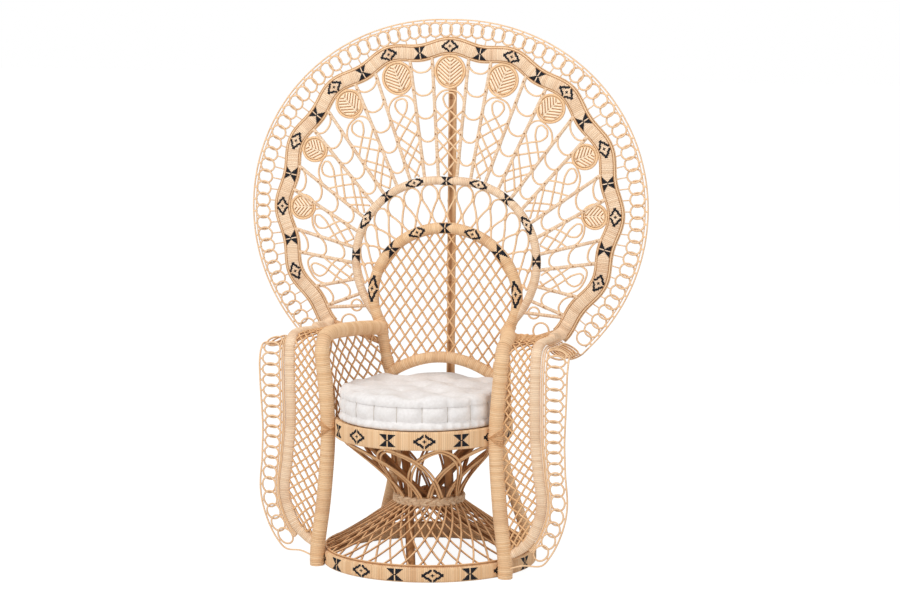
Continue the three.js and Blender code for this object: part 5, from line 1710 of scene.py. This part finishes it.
def swell(thing, hold):
    """Moves a form's points as far as a cloth simulation under pressure takes them, up to a limit."""
    held = thing.vertex_groups.new(name="held")
    held.add([int(k) for k in np.flatnonzero(hold > 0.5)], 1.0, "REPLACE")
    cloth = thing.modifiers.new("swell", "CLOTH")
    settings = cloth.settings
    settings.use_pressure = True
    settings.uniform_pressure_force = 4.0
    settings.effector_weights.gravity = 0
    settings.vertex_group_mass = "held"
    settings.quality = 5
    scene = bpy.context.scene
    for number in range(1, 21):
        scene.frame_set(number)
    count = len(thing.data.vertices)
    before = np.empty(count * 3)
    thing.data.vertices.foreach_get("co", before)
    swollen = thing.evaluated_get(bpy.context.evaluated_depsgraph_get())
    after = np.empty(count * 3)
    swollen.data.vertices.foreach_get("co", after)
    thing.modifiers.remove(cloth)
    thing.vertex_groups.remove(held)
    scene.frame_set(1)
    move = (after - before).reshape(-1, 3) / MM
    size = np.linalg.norm(move, axis=1, keepdims=True)
    move = move * np.minimum(1, CUSHION_SWELL / np.maximum(size, 1e-9))
    thing.data.vertices.foreach_set("co", before + (move * MM).ravel())
    thing.data.update()


# Studio

CAMERA_PLACE = (2.655, -8.043, 1.895)
CAMERA_PITCH = 7.819
CAMERA_YAW = 17.873
CAMERA_LENS = 123.4
LAMP_TARGET = (0, 0, 0.7)
FLOOR_REACH = 20
# Name, place, size and power
LAMPS = (
    ("key", (-2.6, -4.2, 4.4), 2.4, 165),
    ("top", (0.3, -0.9, 4.6), 2.6, 38),
    ("fill", (4.2, -3.4, 2.6), 3.0, 72),
)


def camera():
    """The photograph's camera, level from side to side."""
    data = bpy.data.cameras.new("camera")
    data.lens = CAMERA_LENS
    data.sensor_width = 36
    data.clip_end = 50
    thing = bpy.data.objects.new("camera", data)
    thing.location = CAMERA_PLACE
    thing.rotation_euler = np.radians([90 - CAMERA_PITCH, 0, CAMERA_YAW])
    bpy.context.scene.collection.objects.link(thing)
    bpy.context.scene.camera = thing


def lamp(name, place, size, power):
    """A square soft light that faces the middle of the chair."""
    data = bpy.data.lights.new(name, "AREA")
    data.size = size
    data.energy = power
    thing = bpy.data.objects.new(name, data)
    thing.location = place
    way = unit(np.array(LAMP_TARGET) - np.array(place))
    thing.rotation_euler = (np.arccos(-way[2]), 0, np.arctan2(way[0], -way[1]) + np.pi)
    bpy.context.scene.collection.objects.link(thing)


def seen(finish):
    """One for rays that see a surface directly, in a reflection or through glass."""
    path = finish.tree.nodes.new("ShaderNodeLightPath")
    rays = [Value(finish, path.outputs[f"Is {kind} Ray"]) for kind in ("Camera", "Glossy", "Transmission")]
    return rays[0].either(rays[1]).either(rays[2])


def floor():
    """A pale floor that looks white and keeps a soft shadow."""
    finish = new_finish("pale_floor")
    matte = finish.node("ShaderNodeBsdfDiffuse", None, {"Color": (0.9, 0.9, 0.9, 1)})
    white = finish.node("ShaderNodeEmission", None, {"Color": (1, 1, 1, 1), "Strength": 1.25})
    mixed = finish.node("ShaderNodeMixShader", None, {0: seen(finish) * 0.72, 1: matte, 2: white})
    mesh = bpy.data.meshes.new("floor")
    corners = [(x * FLOOR_REACH, y * FLOOR_REACH, 0) for x, y in ((-1, -1), (1, -1), (1, 1), (-1, 1))]
    mesh.from_pydata(corners, [], [(0, 1, 2, 3)])
    thing = bpy.data.objects.new("floor", mesh)
    thing.data.materials.append(finish.show(mixed))
    bpy.context.scene.collection.objects.link(thing)


def studio_world():
    """Soft light from all round, and plain white where the world itself is seen."""
    finish = Finish(bpy.data.worlds.new("studio"))
    light = finish.node("ShaderNodeBackground", None, {"Color": (1, 0.985, 0.965, 1), "Strength": 0.46})
    white = finish.node("ShaderNodeBackground", None, {"Color": (1, 1, 1, 1), "Strength": 1.0})
    mixed = finish.node("ShaderNodeMixShader", None, {0: seen(finish), 1: light, 2: white})
    bpy.context.scene.world = finish.show(mixed, "ShaderNodeOutputWorld")


def chair():
    """All pieces, from the pedestal up, and the cushion last."""
    rings()
    waist()
    skirt()
    throat()
    struts()
    deck()
    inner_arch()
    second_arch()
    lower_arch()
    rear_pole()
    scallop_band()
    back_lace()
    ladders()
    sprays()
    teardrops()
    back_lattice()
    wings()
    cushion()


camera()
chair()
floor()
studio_world()
for row in LAMPS:
    lamp(*row)
bpy.context.scene.view_settings.view_transform = "Standard"
